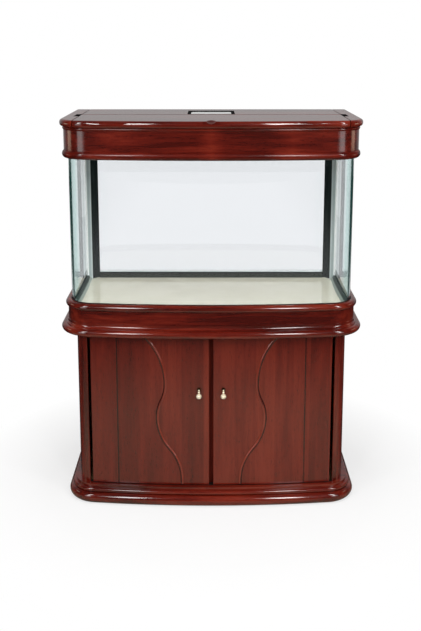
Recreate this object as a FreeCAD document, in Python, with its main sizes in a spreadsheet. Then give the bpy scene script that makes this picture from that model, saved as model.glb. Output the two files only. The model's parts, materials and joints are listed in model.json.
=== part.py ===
import FreeCAD, Part
import math
import os
import re
import Sketcher

# A bow-front aquarium on a two-door cabinet, in millimetres.
# X runs to the right, the front faces -Y, Z is up, and the origin is on the floor
# in the middle of the object's box.
# Every moulding follows the plan of the tank's bent glass at its own offset:
# straight sides, rounded front corners and a shallow bow.

driving_sizes = {
    # Plan of the glass, outer face
    "glass_half": 474,
    "glass_deep": 448,
    "back_room": 15,
    "bow_radius": 3500,
    "corner_radius": 80,
    "glass_thick": 8,
    # Clearance between curved or moving faces
    "fit_gap": 0.3,
    # Plinth moulding, offsets outward from the glass
    "plinth_lower_out": 26,
    "plinth_lower_tall": 38,
    "plinth_upper_out": 14,
    "plinth_upper_tall": 15,
    "plinth_step_out": 2,
    "plinth_step_tall": 9,
    "plinth_inset": 14,
    "rail_thick": 14,
    "floor_thick": 18,
    "batten_thick": 16,
    # Cabinet walls and doors
    "carcass_inset": 14,
    "wall_thick": 18,
    "door_tall": 536,
    "door_clear": 3,
    "post_wide": 40,
    "post_gap": 10,
    "post_tail": 20,
    "edge_round": 2.5,
    "centre_gap": 14,
    "door_groove_inset": 90.5,
    "door_groove_wide": 4,
    "door_groove_deep": 2.5,
    "back_thick": 10,
    "centre_post_half": 18,
    "centre_post_deep": 22,
    "centre_post_clear": 4,
    "hose_slot_wide": 150,
    "hose_slot_tall": 70,
    "hose_slot_inset": 222,
    "hose_slot_drop": 110,
    # Door pivots
    "pivot_inset": 12,
    "pin_radius": 4,
    "pin_in_door": 10,
    "pin_in_bush": 9,
    "bush_radius": 7,
    "bush_long": 12,
    "bush_flange_radius": 9,
    "bush_flange_thick": 2.4,
    "running_gap": 0.05,
    # S-shaped bead on each door, heights from the floor
    "bead_wide": 10,
    "bead_proud": 3.6,
    "bead_top_at": 223,
    "bead_neck_at": 156,
    "bead_neck_high": 430,
    "bead_belly_at": 184,
    "bead_belly_high": 310,
    "bead_foot_at": 100,
    "bead_foot_high": 83,
    "bead_end_inset": 4,
    # Catches
    "catch_at": 24,
    "catch_wide": 36,
    "catch_deep": 14,
    "catch_tall": 12,
    "strike_inset": 4,
    "strike_thick": 1.5,
    # Door pulls
    "pull_at": 41.5,
    "pull_high": 412,
    "pull_reach": 10.5,
    "rosette_radius": 6.5,
    "rosette_thick": 2,
    "pull_lug_thick": 1.6,
    "pull_lug_radius": 3,
    "pull_pin_radius": 1.2,
    "pull_eye_radius": 3,
    "pull_eye_wide": 4.6,
    "pull_bead_radius": 3.6,
    "pull_bead_drop": 7.2,
    "pull_ball_radius": 9,
    "pull_ball_drop": 21,
    "pull_neck_radius": 2,
    # Tank base moulding
    "base_torus_out": 37,
    "base_torus_tall": 25,
    "base_quirk_out": 20,
    "base_quirk_tall": 3,
    "base_cove_tall": 10,
    "base_cove_radius": 9,
    "base_step_out": 15,
    "base_step_tall": 3,
    "base_band_out": 13,
    "base_band_tall": 43,
    "base_bead_out": 21,
    "base_bead_tall": 24,
    "base_rebate": 2,
    "base_ledge": 16,
    "glass_room": 3,
    "top_thick": 18,
    "deck_rise": 28,
    "deck_thick": 22,
    "bearer_half": 30,
    "bearer_inset": 244,
    # Tank
    "mat_thick": 5,
    "pane_thick": 10,
    "sheet_thick": 3,
    "glass_tall": 543,
    "trim_leg": 45,
    "foot_trim_tall": 20,
    "foot_trim_deep": 12,
    "foot_trim_lip": 4,
    "gasket_tall": 10,
    "gasket_proud": 2,
    # Hood
    "hood_lap": 26,
    "hood_bead_out": 20,
    "hood_bead_tall": 28,
    "hood_fascia_out": 14,
    "hood_fascia_tall": 66,
    "hood_astragal_out": 17,
    "hood_astragal_tall": 10,
    "hood_room": 2,
    "hood_batten": 16,
    "board_out": 26,
    "board_thick": 24,
    "board_nose": 11,
    "end_board_wide": 54,
    "lid_slot": 3,
    "cover_deep": 225,
    "scoop_wide": 48,
    "scoop_long": 140,
    "scoop_tall": 60,
    "scoop_deep": 8,
    "cable_notch_wide": 70,
    "cable_notch_tall": 30,
    "cable_notch_inset": 176,
    # Hose slots in the end boards
    "slot_wide": 17,
    "slot_long": 85,
    "slot_ahead": 73,
    "liner_wall": 2,
    # Lid hinges
    "hinge_inset": 153,
    "hinge_half": 32,
    "knuckle_half": 14,
    "knuckle_radius": 3,
    "knuckle_drop": 3.2,
    "hinge_pin_radius": 1.5,
    "leaf_thick": 1.2,
    "leaf_tall": 18,
    # Feeding hatch in the rear cover
    "hatch_half": 82,
    "hatch_deep": 150,
    "hatch_set": 9,
    "hatch_rim": 11,
    "hatch_frame_tall": 14,
    "hatch_shelf": 6,
    "flap_clear": 1,
    "flap_lip": 4,
    "flap_thick": 4,
    "flap_sink": 1,
    "flap_pivot_radius": 2,
    "flap_pivot_long": 5,
    "flap_pivot_inset": 6,
    "flap_scoop_half": 20,
    "flap_scoop_deep": 5,
    # Light across the hood, in front of the split
    "light_deep": 86,
    "light_gap": 79,
    "light_tall": 40,
    "light_clear": 3,
    "bracket_inset": 1,
    "bracket_thick": 12,
    "light_wall": 2,
    "light_flare": 14,
    "tube_radius": 8,
    "tube_apart": 36,
    "socket_clear": 12,
    "socket_long": 24,
    "socket_radius": 12,
}

# Sizes that follow from the ones above
derived_sizes = {
    "glass_front": "(glass_deep + back_room - base_torus_out) / 2",
    "glass_back": "glass_deep - glass_front",
    "back_face": "glass_back + back_room",
    "plinth_top": "plinth_lower_tall + plinth_upper_tall + plinth_step_tall",
    "door_low": "plinth_top + door_clear",
    "door_high": "door_low + door_tall",
    "base_low": "door_high + door_clear",
    "base_cove_low": "base_low + base_torus_tall + base_quirk_tall",
    "base_band_low": "base_cove_low + base_cove_tall + base_step_tall",
    "base_bead_low": "base_band_low + base_band_tall",
    "base_top": "base_bead_low + base_bead_tall",
    "cabinet_top_high": "base_low + top_thick",
    "deck_low": "cabinet_top_high + deck_rise",
    "deck_high": "deck_low + deck_thick",
    "glass_low": "deck_high + mat_thick",
    "glass_high": "glass_low + glass_tall",
    "sheet_low": "glass_low + pane_thick",
    "tank_floor": "sheet_low + sheet_thick",
    "hood_low": "glass_high - hood_lap",
    "hood_fascia_low": "hood_low + hood_bead_tall",
    "hood_astragal_low": "hood_fascia_low + hood_fascia_tall",
    "board_low": "hood_astragal_low + hood_astragal_tall",
    "board_high": "board_low + board_thick",
    "bow_centre": "bow_radius - glass_front",
    "corner_x": "glass_half - corner_radius",
    "corner_y": "bow_centre - sqrt((bow_radius - corner_radius)^2 - corner_x^2)",
    "carcass_half": "glass_half - carcass_inset",
    "post_edge": "carcass_half - post_wide",
    "post_rear": "corner_y + post_tail",
    "door_edge": "post_edge - post_gap",
    "door_groove_at": "door_edge - door_groove_inset",
    "hose_slot_at": "carcass_half - wall_thick - hose_slot_inset",
    "bearer_at": "glass_half - bearer_inset",
    "door_face_radius": "bow_radius - carcass_inset",
    "door_back_radius": "door_face_radius - wall_thick",
    "pivot_x": "door_edge - pivot_inset",
    "pivot_y": "bow_centre - sqrt((door_face_radius - wall_thick / 2)^2 - pivot_x^2)",
    "glass_inner_half": "glass_half - glass_thick",
    "glass_inner_back": "glass_back - glass_thick",
    "lid_half": "glass_half + board_out - end_board_wide",
    "lid_split": "back_face - cover_deep",
    "slot_front": "lid_split - slot_ahead",
    "slot_rear": "slot_front + slot_long",
    "hatch_front": "lid_split + hatch_set",
    "hatch_rear": "hatch_front + hatch_deep",
    "cable_notch_at": "glass_half + hood_room - cable_notch_inset",
    "hinge_at": "lid_half - hinge_inset",
    "hinge_z": "board_high - knuckle_drop",
    "lid_split_gap": "2 * (knuckle_radius + leaf_thick + fit_gap)",
    "light_half": "lid_half + lid_slot / 2 + bracket_inset",
    "light_rear": "lid_split - light_gap",
    "light_front": "light_rear - light_deep",
    "tube_half": "light_half - socket_clear - socket_long",
    "pull_y": "bow_centre - sqrt(door_face_radius^2 - pull_at^2) - pull_reach",
    "bead_low": "door_low + bead_end_inset",
    "bead_high": "door_high - bead_end_inset",
    "bead_middle": "(bead_foot_at + bead_top_at) / 2",
    "bead_y": "bow_centre - sqrt(door_face_radius^2 - bead_middle^2)",
    "bead_crown_radius": "((bead_wide / 2)^2 + bead_proud^2) / (2 * bead_proud)",
    "bead_top_radius": "((bead_top_at - bead_neck_at)^2 + (bead_high - bead_neck_high)^2)"
                       " / (2 * (bead_top_at - bead_neck_at))",
    "bead_neck_radius": "((bead_belly_at - bead_neck_at)^2 + (bead_neck_high - bead_belly_high)^2)"
                        " / (4 * (bead_belly_at - bead_neck_at))",
    "bead_foot_radius": "((bead_belly_at - bead_foot_at)^2 + (bead_belly_high - bead_foot_high)^2)"
                        " / (4 * (bead_belly_at - bead_foot_at))",
}

doc = FreeCAD.newDocument("bow_front_aquarium")
sheet = doc.addObject("Spreadsheet::Sheet", "Sizes")
cells = dict(driving_sizes)
cells.update({name: "=" + text for name, text in derived_sizes.items()})
for row, (name, content) in enumerate(cells.items(), start=1):
    sheet.set("A%d" % row, name)
    sheet.set("B%d" % row, str(content))
    sheet.setAlias("B%d" % row, name)
doc.recompute()

nodes = []


def formula(text):
    # Puts the sheet's name before each size in a formula
    return re.sub(r"[a-z][a-z0-9_]*", lambda word: "Sizes." + word[0] if word[0] in cells else word[0], text)


def value(text):
    return float(sheet.evalExpression(formula(text)))


def bind(item, path, text):
    item.setExpression(path, formula(text))


def node(item, name):
    item.Label = name
    nodes.append(item)
    return item


# Solids from boxes and rods

def box(name, x_span, y_span, z_span):
    item = doc.addObject("Part::Box", name)
    spans = (("Length", "x", x_span), ("Width", "y", y_span), ("Height", "z", z_span))
    for side, axis, (low, high) in spans:
        bind(item, side, "(%s) - (%s)" % (high, low))
        bind(item, "Placement.Base." + axis, low)
    return item


def place(item, at, turn=None):
    if turn:
        item.Placement = FreeCAD.Placement(FreeCAD.Vector(), turn)
    for axis, text in zip("xyz", at):
        bind(item, "Placement.Base." + axis, text)
    return item


along_x = FreeCAD.Rotation(FreeCAD.Vector(0, 1, 0), 90)
along_y = FreeCAD.Rotation(FreeCAD.Vector(1, 0, 0), -90)


def rod(name, radius, length, at, turn=None):
    item = doc.addObject("Part::Cylinder", name)
    bind(item, "Radius", radius)
    bind(item, "Height", length)
    return place(item, at, turn)


def fuse(name, items):
    item = doc.addObject("Part::MultiFuse", name)
    item.Shapes = items
    item.Refine = True
    return item


def group(name, items):
    item = doc.addObject("Part::Compound", name)
    item.Links = items
    return item


def cut(name, base, tools):
    item = doc.addObject("Part::Cut", name)
    item.Base = base
    item.Tool = tools[0] if len(tools) == 1 else group(name + "_tools", tools)
    item.Refine = True
    return item


def common(name, base, tool):
    item = doc.addObject("Part::Common", name)
    item.Base = base
    item.Tool = tool
    item.Refine = True
    return item


# Sketches

def new_body(name):
    return doc.addObject("PartDesign::Body", name)


def new_sketch(body, name, role, offset="0"):
    sketch = body.newObject("Sketcher::SketchObject", name)
    plane = [item for item in body.Origin.OriginFeatures if item.Role == role][0]
    sketch.AttachmentSupport = [(plane, "")]
    sketch.MapMode = "FlatFace"
    bind(sketch, "AttachmentOffset.Base.z", offset)
    return sketch


def hold(sketch, text, *parts):
    # Adds a dimension and ties it to the sheet
    index = sketch.addConstraint(Sketcher.Constraint(*parts, value(text)))
    bind(sketch, "Constraints[%d]" % index, text)


def spot(x_text, y_text):
    return FreeCAD.Vector(value(x_text), value(y_text), 0)


def arc_between(start, end, radius):
    # The shorter arc that runs anticlockwise from start to end
    chord = end - start
    rise = math.sqrt(max(radius ** 2 - chord.Length ** 2 / 4, 0))
    aside = FreeCAD.Vector(-chord.y, chord.x, 0).normalize()
    centre = (start + end) * 0.5 + aside * rise
    angles = [math.atan2(point.y - centre.y, point.x - centre.x) for point in (start, end)]
    return Part.ArcOfCircle(Part.Circle(centre, FreeCAD.Vector(0, 0, 1), radius), *angles)


def draw(sketch, corners, closed=True):
    # Runs from corner to corner: a corner (x, y) is reached by a straight run,
    # and a corner (x, y, radius, turn) by an arc, anticlockwise where turn is 1
    spots = [spot(corner[0], corner[1]) for corner in corners]
    reached = range(0 if closed else 1, len(corners))
    first_end, last_end = [], []
    for index in reached:
        start, end = spots[index - 1], spots[index]
        corner = corners[index]
        clockwise = len(corner) > 2 and corner[3] < 0
        if len(corner) == 2:
            sketch.addGeometry(Part.LineSegment(start, end), False)
        elif clockwise:
            sketch.addGeometry(arc_between(end, start, value(corner[2])), False)
        else:
            sketch.addGeometry(arc_between(start, end, value(corner[2])), False)
        first_end.append(2 if clockwise else 1)
        last_end.append(1 if clockwise else 2)
    for run in range(len(reached)):
        ahead = (run + 1) % len(reached)
        if closed or ahead:
            join = Sketcher.Constraint("Coincident", run, last_end[run], ahead, first_end[ahead])
            sketch.addConstraint(join)
    for run, index in enumerate(reached):
        corner = corners[index]
        hold(sketch, corner[0], "DistanceX", run, last_end[run])
        hold(sketch, corner[1], "DistanceY", run, last_end[run])
        if len(corner) > 2:
            hold(sketch, corner[2], "Radius", run)
    if not closed:
        hold(sketch, corners[0][0], "DistanceX", 0, first_end[0])
        hold(sketch, corners[0][1], "DistanceY", 0, first_end[0])


def draw_plan(sketch, out, back, closed):
    # The plan of the glass at an offset: side, corner, bow, corner, side
    side_x = value("glass_half + (%s)" % out)
    back_y = value(back)
    corner_x, corner_y = value("corner_x"), value("corner_y")
    lean = math.atan2(corner_x, value("bow_centre") - corner_y)
    front = math.radians(270)
    up = FreeCAD.Vector(0, 0, 1)
    corner = value("corner_radius + (%s)" % out)
    bow = value("bow_radius + (%s)" % out)
    left_circle = Part.Circle(FreeCAD.Vector(-corner_x, corner_y, 0), up, corner)
    bow_circle = Part.Circle(FreeCAD.Vector(0, value("bow_centre"), 0), up, bow)
    right_circle = Part.Circle(FreeCAD.Vector(corner_x, corner_y, 0), up, corner)
    left_back, left_front = FreeCAD.Vector(-side_x, back_y, 0), FreeCAD.Vector(-side_x, corner_y, 0)
    right_back, right_front = FreeCAD.Vector(side_x, back_y, 0), FreeCAD.Vector(side_x, corner_y, 0)
    runs = [
        Part.LineSegment(left_back, left_front),
        Part.ArcOfCircle(left_circle, math.pi, front - lean),
        Part.ArcOfCircle(bow_circle, front - lean, front + lean),
        Part.ArcOfCircle(right_circle, front + lean, 2 * math.pi),
        Part.LineSegment(right_front, right_back),
    ]
    for run in runs:
        sketch.addGeometry(run, False)
    for index in range(4):
        sketch.addConstraint(Sketcher.Constraint("Tangent", index, 2, index + 1, 1))
    sketch.addConstraint(Sketcher.Constraint("Vertical", 0))
    sketch.addConstraint(Sketcher.Constraint("Vertical", 4))
    sketch.addConstraint(Sketcher.Constraint("PointOnObject", 2, 3, -2))
    hold(sketch, "bow_radius + (%s)" % out, "Radius", 2)
    hold(sketch, "corner_radius + (%s)" % out, "Radius", 1)
    hold(sketch, "corner_radius + (%s)" % out, "Radius", 3)
    hold(sketch, "bow_centre", "DistanceY", 2, 3)
    hold(sketch, "-glass_half - (%s)" % out, "DistanceX", 0, 1)
    hold(sketch, "glass_half + (%s)" % out, "DistanceX", 4, 2)
    hold(sketch, back, "DistanceY", 0, 1)
    hold(sketch, back, "DistanceY", 4, 2)
    if closed:
        sketch.addGeometry(Part.LineSegment(right_back, left_back), False)
        sketch.addConstraint(Sketcher.Constraint("Coincident", 4, 2, 5, 1))
        sketch.addConstraint(Sketcher.Constraint("Coincident", 5, 2, 0, 1))


# Solids from sketches

def moulding(name, section, back):
    # Runs a section, given as (offset from the glass, height), round the plan
    body = new_body(name)
    path = new_sketch(body, name + "_path", "XY_Plane")
    draw_plan(path, "0", back, False)
    profile = new_sketch(body, name + "_section", "XZ_Plane", "-(%s)" % back)
    draw(profile, [("glass_half + (%s)" % corner[0],) + tuple(corner[1:]) for corner in section])
    run = body.newObject("PartDesign::AdditivePipe", name + "_run")
    run.Profile = profile
    run.Spine = path
    return body


def strip(name, inner, outer, low, high, back):
    # A plain upright strip that follows the plan
    return moulding(name, [(inner, low), (outer, low), (outer, high), (inner, high)], back)


def slab(name, out, back, low, thick):
    # A board cut to the plan
    body = new_body(name)
    outline = new_sketch(body, name + "_outline", "XY_Plane", low)
    draw_plan(outline, out, back, True)
    pad = body.newObject("PartDesign::Pad", name + "_pad")
    pad.Profile = outline
    bind(pad, "Length", thick)
    return body


def extrusion(name, role, start, length, corners):
    # An outline on an origin plane, padded along the plane's normal
    body = new_body(name)
    outline = new_sketch(body, name + "_outline", role, start)
    draw(outline, corners)
    pad = body.newObject("PartDesign::Pad", name + "_pad")
    pad.Profile = outline
    bind(pad, "Length", length)
    return body


def nose(out, low, tall):
    # A half-round moulding: two quarter circles about its middle height
    radius = "(%s) / 2" % tall
    inner = "(%s) - (%s) / 2" % (out, tall)
    return [
        (inner, low),
        (out, "(%s) + (%s) / 2" % (low, tall), radius, 1),
        (inner, "(%s) + (%s)" % (low, tall), radius, 1),
    ]


sides = (("left", -1), ("right", 1))


def mirrored_span(sign, near, far):
    # A span across X, measured from the middle of the object
    return (near, far) if sign > 0 else ("-(%s)" % far, "-(%s)" % near)


def across(sign, text):
    return text if sign > 0 else "-(%s)" % text


def round_front(name, base, planes):
    # Rounds the front upright edge of a bowed board in each of the given X planes
    doc.recompute()
    item = doc.addObject("Part::Fillet", name)
    item.Base = base
    near, size = value("fit_gap"), value("edge_round")
    picked = []
    for plane in planes:
        at = value(plane)
        edges = []
        for index, edge in enumerate(base.Shape.Edges, start=1):
            reach = edge.BoundBox
            if max(abs(reach.XMin - at), abs(reach.XMax - at), reach.YLength) < near:
                edges.append((reach.YMin, index))
        picked.append(min(edges)[1])
    item.Edges = [(index, size, size) for index in picked]
    return item


# Plinth: two rounds and a step, with the floor board let in behind them

plinth_section = [("-plinth_inset", "0")]
plinth_section += nose("plinth_lower_out", "0", "plinth_lower_tall")
plinth_section += nose("plinth_upper_out", "plinth_lower_tall", "plinth_upper_tall")
plinth_section += [
    ("plinth_step_out", "plinth_lower_tall + plinth_upper_tall"),
    ("plinth_step_out", "plinth_top"),
    ("-plinth_inset", "plinth_top"),
]
node(moulding("plinth_run", plinth_section, "back_face"), "plinth_frame")

plinth_inner = "glass_half - plinth_inset"
back_rail_y = ("back_face - rail_thick", "back_face")
floor_low = "plinth_top - floor_thick"
plinth_rail = box("plinth_rail", ("-(%s)" % plinth_inner, plinth_inner), back_rail_y, ("0", "plinth_top"))
node(plinth_rail, "plinth_back_rail")
floor_battens = []
for side, sign in sides:
    span = mirrored_span(sign, plinth_inner + " - batten_thick", plinth_inner)
    batten_z = (floor_low + " - batten_thick", floor_low)
    floor_battens.append(box(side + "_floor_batten", span, ("corner_y", "back_face - rail_thick"), batten_z))
node(group("floor_battens", floor_battens), "floor_battens")

rail_face = "back_face - rail_thick"
floor_blank = slab("floor_blank", "-plinth_inset - fit_gap", rail_face, floor_low, "floor_thick")
pivot_spots = [(side, across(sign, "pivot_x")) for side, sign in sides]
floor_holes = [
    rod(side + "_floor_hole", "bush_radius", "bush_long", (x, "pivot_y", "plinth_top - bush_long"))
    for side, x in pivot_spots
]
node(cut("floor_cut", floor_blank, floor_holes), "cabinet_floor")

# Cabinet walls: the rounded corner posts and the doors come from one bowed shell

wall_inner = "-carcass_inset - wall_thick"
front_shell = strip("front_shell", wall_inner, "-carcass_inset", "plinth_top", "base_low", "0")
far_front = "-glass_front - base_torus_out"
post_z = ("plinth_top", "base_low")
for side, sign in sides:
    post_x = mirrored_span(sign, "post_edge", "glass_half")
    post_region = box(side + "_post_region", post_x, (far_front, "post_rear"), post_z)
    post_blank = common(side + "_post_blank", front_shell, post_region)
    node(round_front(side + "_post", post_blank, [across(sign, "post_edge")]), side + "_corner_post")
    panel_x = mirrored_span(sign, "carcass_half - wall_thick", "carcass_half")
    node(box(side + "_panel", panel_x, ("post_rear", "back_face"), post_z), side + "_side_panel")

back_half = "carcass_half - wall_thick"
slot_mid = "base_low - hose_slot_drop"
back_panel = extrusion(
    "back_board", "XZ_Plane", "-back_face", "back_thick",
    [
        ("-(%s)" % back_half, "plinth_top"),
        (back_half, "plinth_top"),
        (back_half, "base_low"),
        ("-(%s)" % back_half, "base_low"),
    ])


def hose_slot(middle):
    # A slot with round ends, through the back panel
    half_straight = "(hose_slot_wide - hose_slot_tall) / 2"
    left_x, right_x = "%s - %s" % (middle, half_straight), "%s + %s" % (middle, half_straight)
    low, high = slot_mid + " - hose_slot_tall / 2", slot_mid + " + hose_slot_tall / 2"
    round_end = "hose_slot_tall / 2"
    return [
        (right_x, low),
        ("%s + %s" % (right_x, round_end), slot_mid, round_end, 1),
        (right_x, high, round_end, 1),
        (left_x, high),
        ("%s - %s" % (left_x, round_end), slot_mid, round_end, 1),
        (left_x, low, round_end, 1),
    ]


for side, sign in sides:
    opening = new_sketch(back_panel, side + "_hose_opening", "XZ_Plane", "-back_face")
    draw(opening, hose_slot(across(sign, "hose_slot_at")))
    pocket = back_panel.newObject("PartDesign::Pocket", side + "_hose_pocket")
    pocket.Profile = opening
    pocket.Type = "ThroughAll"
    pocket.Midplane = True
node(back_panel, "back_panel")

post_front = "bow_centre - door_back_radius + centre_post_clear"
centre_post_y = (post_front, post_front + " + centre_post_deep")
node(box("middle_post", ("-centre_post_half", "centre_post_half"), centre_post_y, post_z), "centre_post")

top_blank = slab("top_blank", "-base_rebate - fit_gap", "back_face - rail_thick", "base_low", "top_thick")
top_holes = [
    rod(side + "_top_hole", "bush_radius", "bush_long", (x, "pivot_y", "base_low"))
    for side, x in pivot_spots
]
node(cut("top_cut", top_blank, top_holes), "cabinet_top")

# Door pivots: flanged bushes in the floor and the top, pins in the doors


def bush(name, x, seat, above):
    # The collar lies on the board's face, and the sleeve goes into the board
    sleeve_low = "%s - bush_long" % seat if above else seat
    collar_low = seat if above else "%s - bush_flange_thick" % seat
    bore_low = sleeve_low if above else collar_low
    sleeve = rod(name + "_sleeve", "bush_radius", "bush_long", (x, "pivot_y", sleeve_low))
    collar = rod(name + "_collar", "bush_flange_radius", "bush_flange_thick", (x, "pivot_y", collar_low))
    bore_long = "bush_long + bush_flange_thick"
    bore = rod(name + "_bore", "pin_radius + running_gap", bore_long, (x, "pivot_y", bore_low))
    return cut(name, fuse(name + "_body", [sleeve, collar]), [bore])


bushes = []
for side, x in pivot_spots:
    bushes.append(bush(side + "_low_bush", x, "plinth_top", True))
    bushes.append(bush(side + "_high_bush", x, "base_low", False))
node(group("bushes", bushes), "door_pivot_bushes")

# Magnetic catches under the cabinet top, behind the doors' strike plates

strike_near, strike_far = "catch_at + strike_inset", "catch_at + catch_wide - strike_inset"
strike_front = "bow_centre - sqrt(door_back_radius^2 - (%s)^2) + fit_gap" % strike_far
catch_front = strike_front + " + strike_thick + fit_gap"
catches = []
for side, sign in sides:
    catch_x = mirrored_span(sign, "catch_at", "catch_at + catch_wide")
    catch_y = (catch_front, catch_front + " + catch_deep")
    catches.append(box(side + "_catch", catch_x, catch_y, ("base_low - catch_tall", "base_low")))
node(group("catches", catches), "magnetic_catches")

# Doors, each with a groove, an S-shaped bead, pivots, a strike plate and a drop pull


def bead_line(sign):
    # The S from its foot to its top, as tangent arcs
    lower_x, lower_z = "(bead_foot_at + bead_belly_at) / 2", "(bead_foot_high + bead_belly_high) / 2"
    upper_x, upper_z = "(bead_neck_at + bead_belly_at) / 2", "(bead_neck_high + bead_belly_high) / 2"
    runs = [
        ("bead_foot_at", "bead_low"),
        ("bead_foot_at", "bead_foot_high"),
        (lower_x, lower_z, "bead_foot_radius", -sign),
        ("bead_belly_at", "bead_belly_high", "bead_foot_radius", sign),
        (upper_x, upper_z, "bead_neck_radius", sign),
        ("bead_neck_at", "bead_neck_high", "bead_neck_radius", -sign),
        ("bead_top_at", "bead_high", "bead_top_radius", -sign),
    ]
    return [(across(sign, run[0] + " - bead_middle"),) + run[1:] for run in runs]


def door_bead(side, sign):
    # A rounded section run along the S, in the flat that touches the bowed door at the S's middle
    body = new_body(side + "_bead")
    line = new_sketch(body, side + "_bead_line", "XZ_Plane")
    draw(line, bead_line(sign), closed=False)
    section = new_sketch(body, side + "_bead_section", "XY_Plane", "bead_low")
    foot = across(sign, "bead_foot_at - bead_middle")
    draw(section, [
        (foot + " - bead_wide / 2", "-fit_gap"),
        (foot + " + bead_wide / 2", "-fit_gap", "bead_crown_radius", 1),
    ])
    run = body.newObject("PartDesign::AdditivePipe", side + "_bead_run")
    run.Profile = section
    run.Spine = line
    upright = FreeCAD.Rotation(FreeCAD.Vector(0, 0, sign), 1)
    place(body, (across(sign, "bead_middle"), "bead_y", "0"), upright)
    bind(body, "Placement.Rotation.Angle", "asin(bead_middle / door_face_radius)")
    return body


def pull_drop(side, x):
    # A turned drop: ball, neck and small bead under an eye on the pin
    body = new_body(side + "_drop_turning")
    outline = new_sketch(body, side + "_drop_outline", "XZ_Plane")
    ball_join = "-pull_ball_drop + sqrt(pull_ball_radius^2 - pull_neck_radius^2)"
    bead_rise = "sqrt(pull_bead_radius^2 - pull_neck_radius^2)"
    draw(outline, [
        ("0", "-pull_ball_drop - pull_ball_radius"),
        ("pull_ball_radius", "-pull_ball_drop", "pull_ball_radius", 1),
        ("pull_neck_radius", ball_join, "pull_ball_radius", 1),
        ("pull_neck_radius", "-pull_bead_drop - " + bead_rise),
        ("pull_bead_radius", "-pull_bead_drop", "pull_bead_radius", 1),
        ("pull_neck_radius", "-pull_bead_drop + " + bead_rise, "pull_bead_radius", 1),
        ("pull_neck_radius", "0"),
        ("0", "0"),
    ])
    turning = body.newObject("PartDesign::Revolution", side + "_drop_revolution")
    turning.Profile = outline
    turning.ReferenceAxis = (outline, ["V_Axis"])
    turning.Angle = 360
    place(body, (x, "pull_y", "pull_high"))
    eye_at = ("%s - pull_eye_wide / 2" % x, "pull_y", "pull_high")
    eye = rod(side + "_drop_eye", "pull_eye_radius", "pull_eye_wide", eye_at, along_x)
    bore = rod(side + "_drop_bore", "pull_pin_radius + running_gap", "pull_eye_wide", eye_at, along_x)
    return cut(side + "_drop", fuse(side + "_drop_body", [body, eye]), [bore])


def pull_base(side, x):
    # A round plate with two lugs and the pin that carries the drop
    plate_front = "pull_y + pull_reach - fit_gap - rosette_thick"
    plate_at = (x, plate_front, "pull_high")
    pieces = [rod(side + "_rosette", "rosette_radius", "rosette_thick", plate_at, along_y)]
    lug_near = "pull_eye_wide / 2 + fit_gap"
    for hand, sign in sides:
        low, high = mirrored_span(sign, lug_near, lug_near + " + pull_lug_thick")
        span = ("%s + %s" % (x, low), "%s + %s" % (x, high))
        lug_z = ("pull_high - pull_lug_radius", "pull_high + pull_lug_radius")
        name = "%s_%s_lug" % (side, hand)
        pieces.append(box(name, span, ("pull_y", plate_front), lug_z))
        lug_end = (span[0], "pull_y", "pull_high")
        pieces.append(rod(name + "_end", "pull_lug_radius", "pull_lug_thick", lug_end, along_x))
    pin_half = lug_near + " + pull_lug_thick"
    pin_at = ("%s - (%s)" % (x, pin_half), "pull_y", "pull_high")
    pieces.append(rod(side + "_pull_pin", "pull_pin_radius", "2 * (%s)" % pin_half, pin_at, along_x))
    return fuse(side + "_pull_fixing", pieces)


door_y = (far_front, "post_rear")
for side, sign in sides:
    x = across(sign, "pivot_x")
    door_x = mirrored_span(sign, "centre_gap / 2", "door_edge")
    door_region = box(side + "_door_region", door_x, door_y, ("door_low", "door_high"))
    square_blank = common(side + "_door_square", front_shell, door_region)
    blank = round_front(side + "_door_blank", square_blank, door_x)
    groove_near = "door_groove_at - door_groove_wide / 2"
    groove_x = mirrored_span(sign, groove_near, groove_near + " + door_groove_wide")
    groove_floor = "bow_centre - sqrt(door_face_radius^2 - door_groove_at^2) + door_groove_deep"
    groove = box(side + "_door_groove", groove_x, (far_front, groove_floor), ("door_low", "door_high"))
    low_at, high_at = (x, "pivot_y", "door_low"), (x, "pivot_y", "door_high - pin_in_door")
    low_hole = rod(side + "_low_hole", "pin_radius", "pin_in_door", low_at)
    high_hole = rod(side + "_high_hole", "pin_radius", "pin_in_door", high_at)
    node(cut(side + "_door_cut", blank, [groove, low_hole, high_hole]), side + "_door")

    node(door_bead(side, sign), side + "_door_bead")

    pin_long = "pin_in_door + door_clear + pin_in_bush"
    pin_foot = (x, "pivot_y", "door_low - door_clear - pin_in_bush")
    low_pin = rod(side + "_low_pin", "pin_radius", pin_long, pin_foot)
    high_pin = rod(side + "_high_pin", "pin_radius", pin_long, high_at)
    node(group(side + "_pivot_pins", [low_pin, high_pin]), side + "_door_pivots")

    strike_x = mirrored_span(sign, strike_near, strike_far)
    strike_z = ("base_low - catch_tall", "door_high")
    strike_y = (strike_front, strike_front + " + strike_thick")
    node(box(side + "_strike", strike_x, strike_y, strike_z), side + "_strike_plate")

    pull_x = across(sign, "pull_at")
    node(pull_base(side, pull_x), side + "_pull_plate")
    node(pull_drop(side, pull_x), side + "_pull_drop")

# Tank base: a torus, a cove, a flat band and a bead, with ledges for the boards inside

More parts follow.
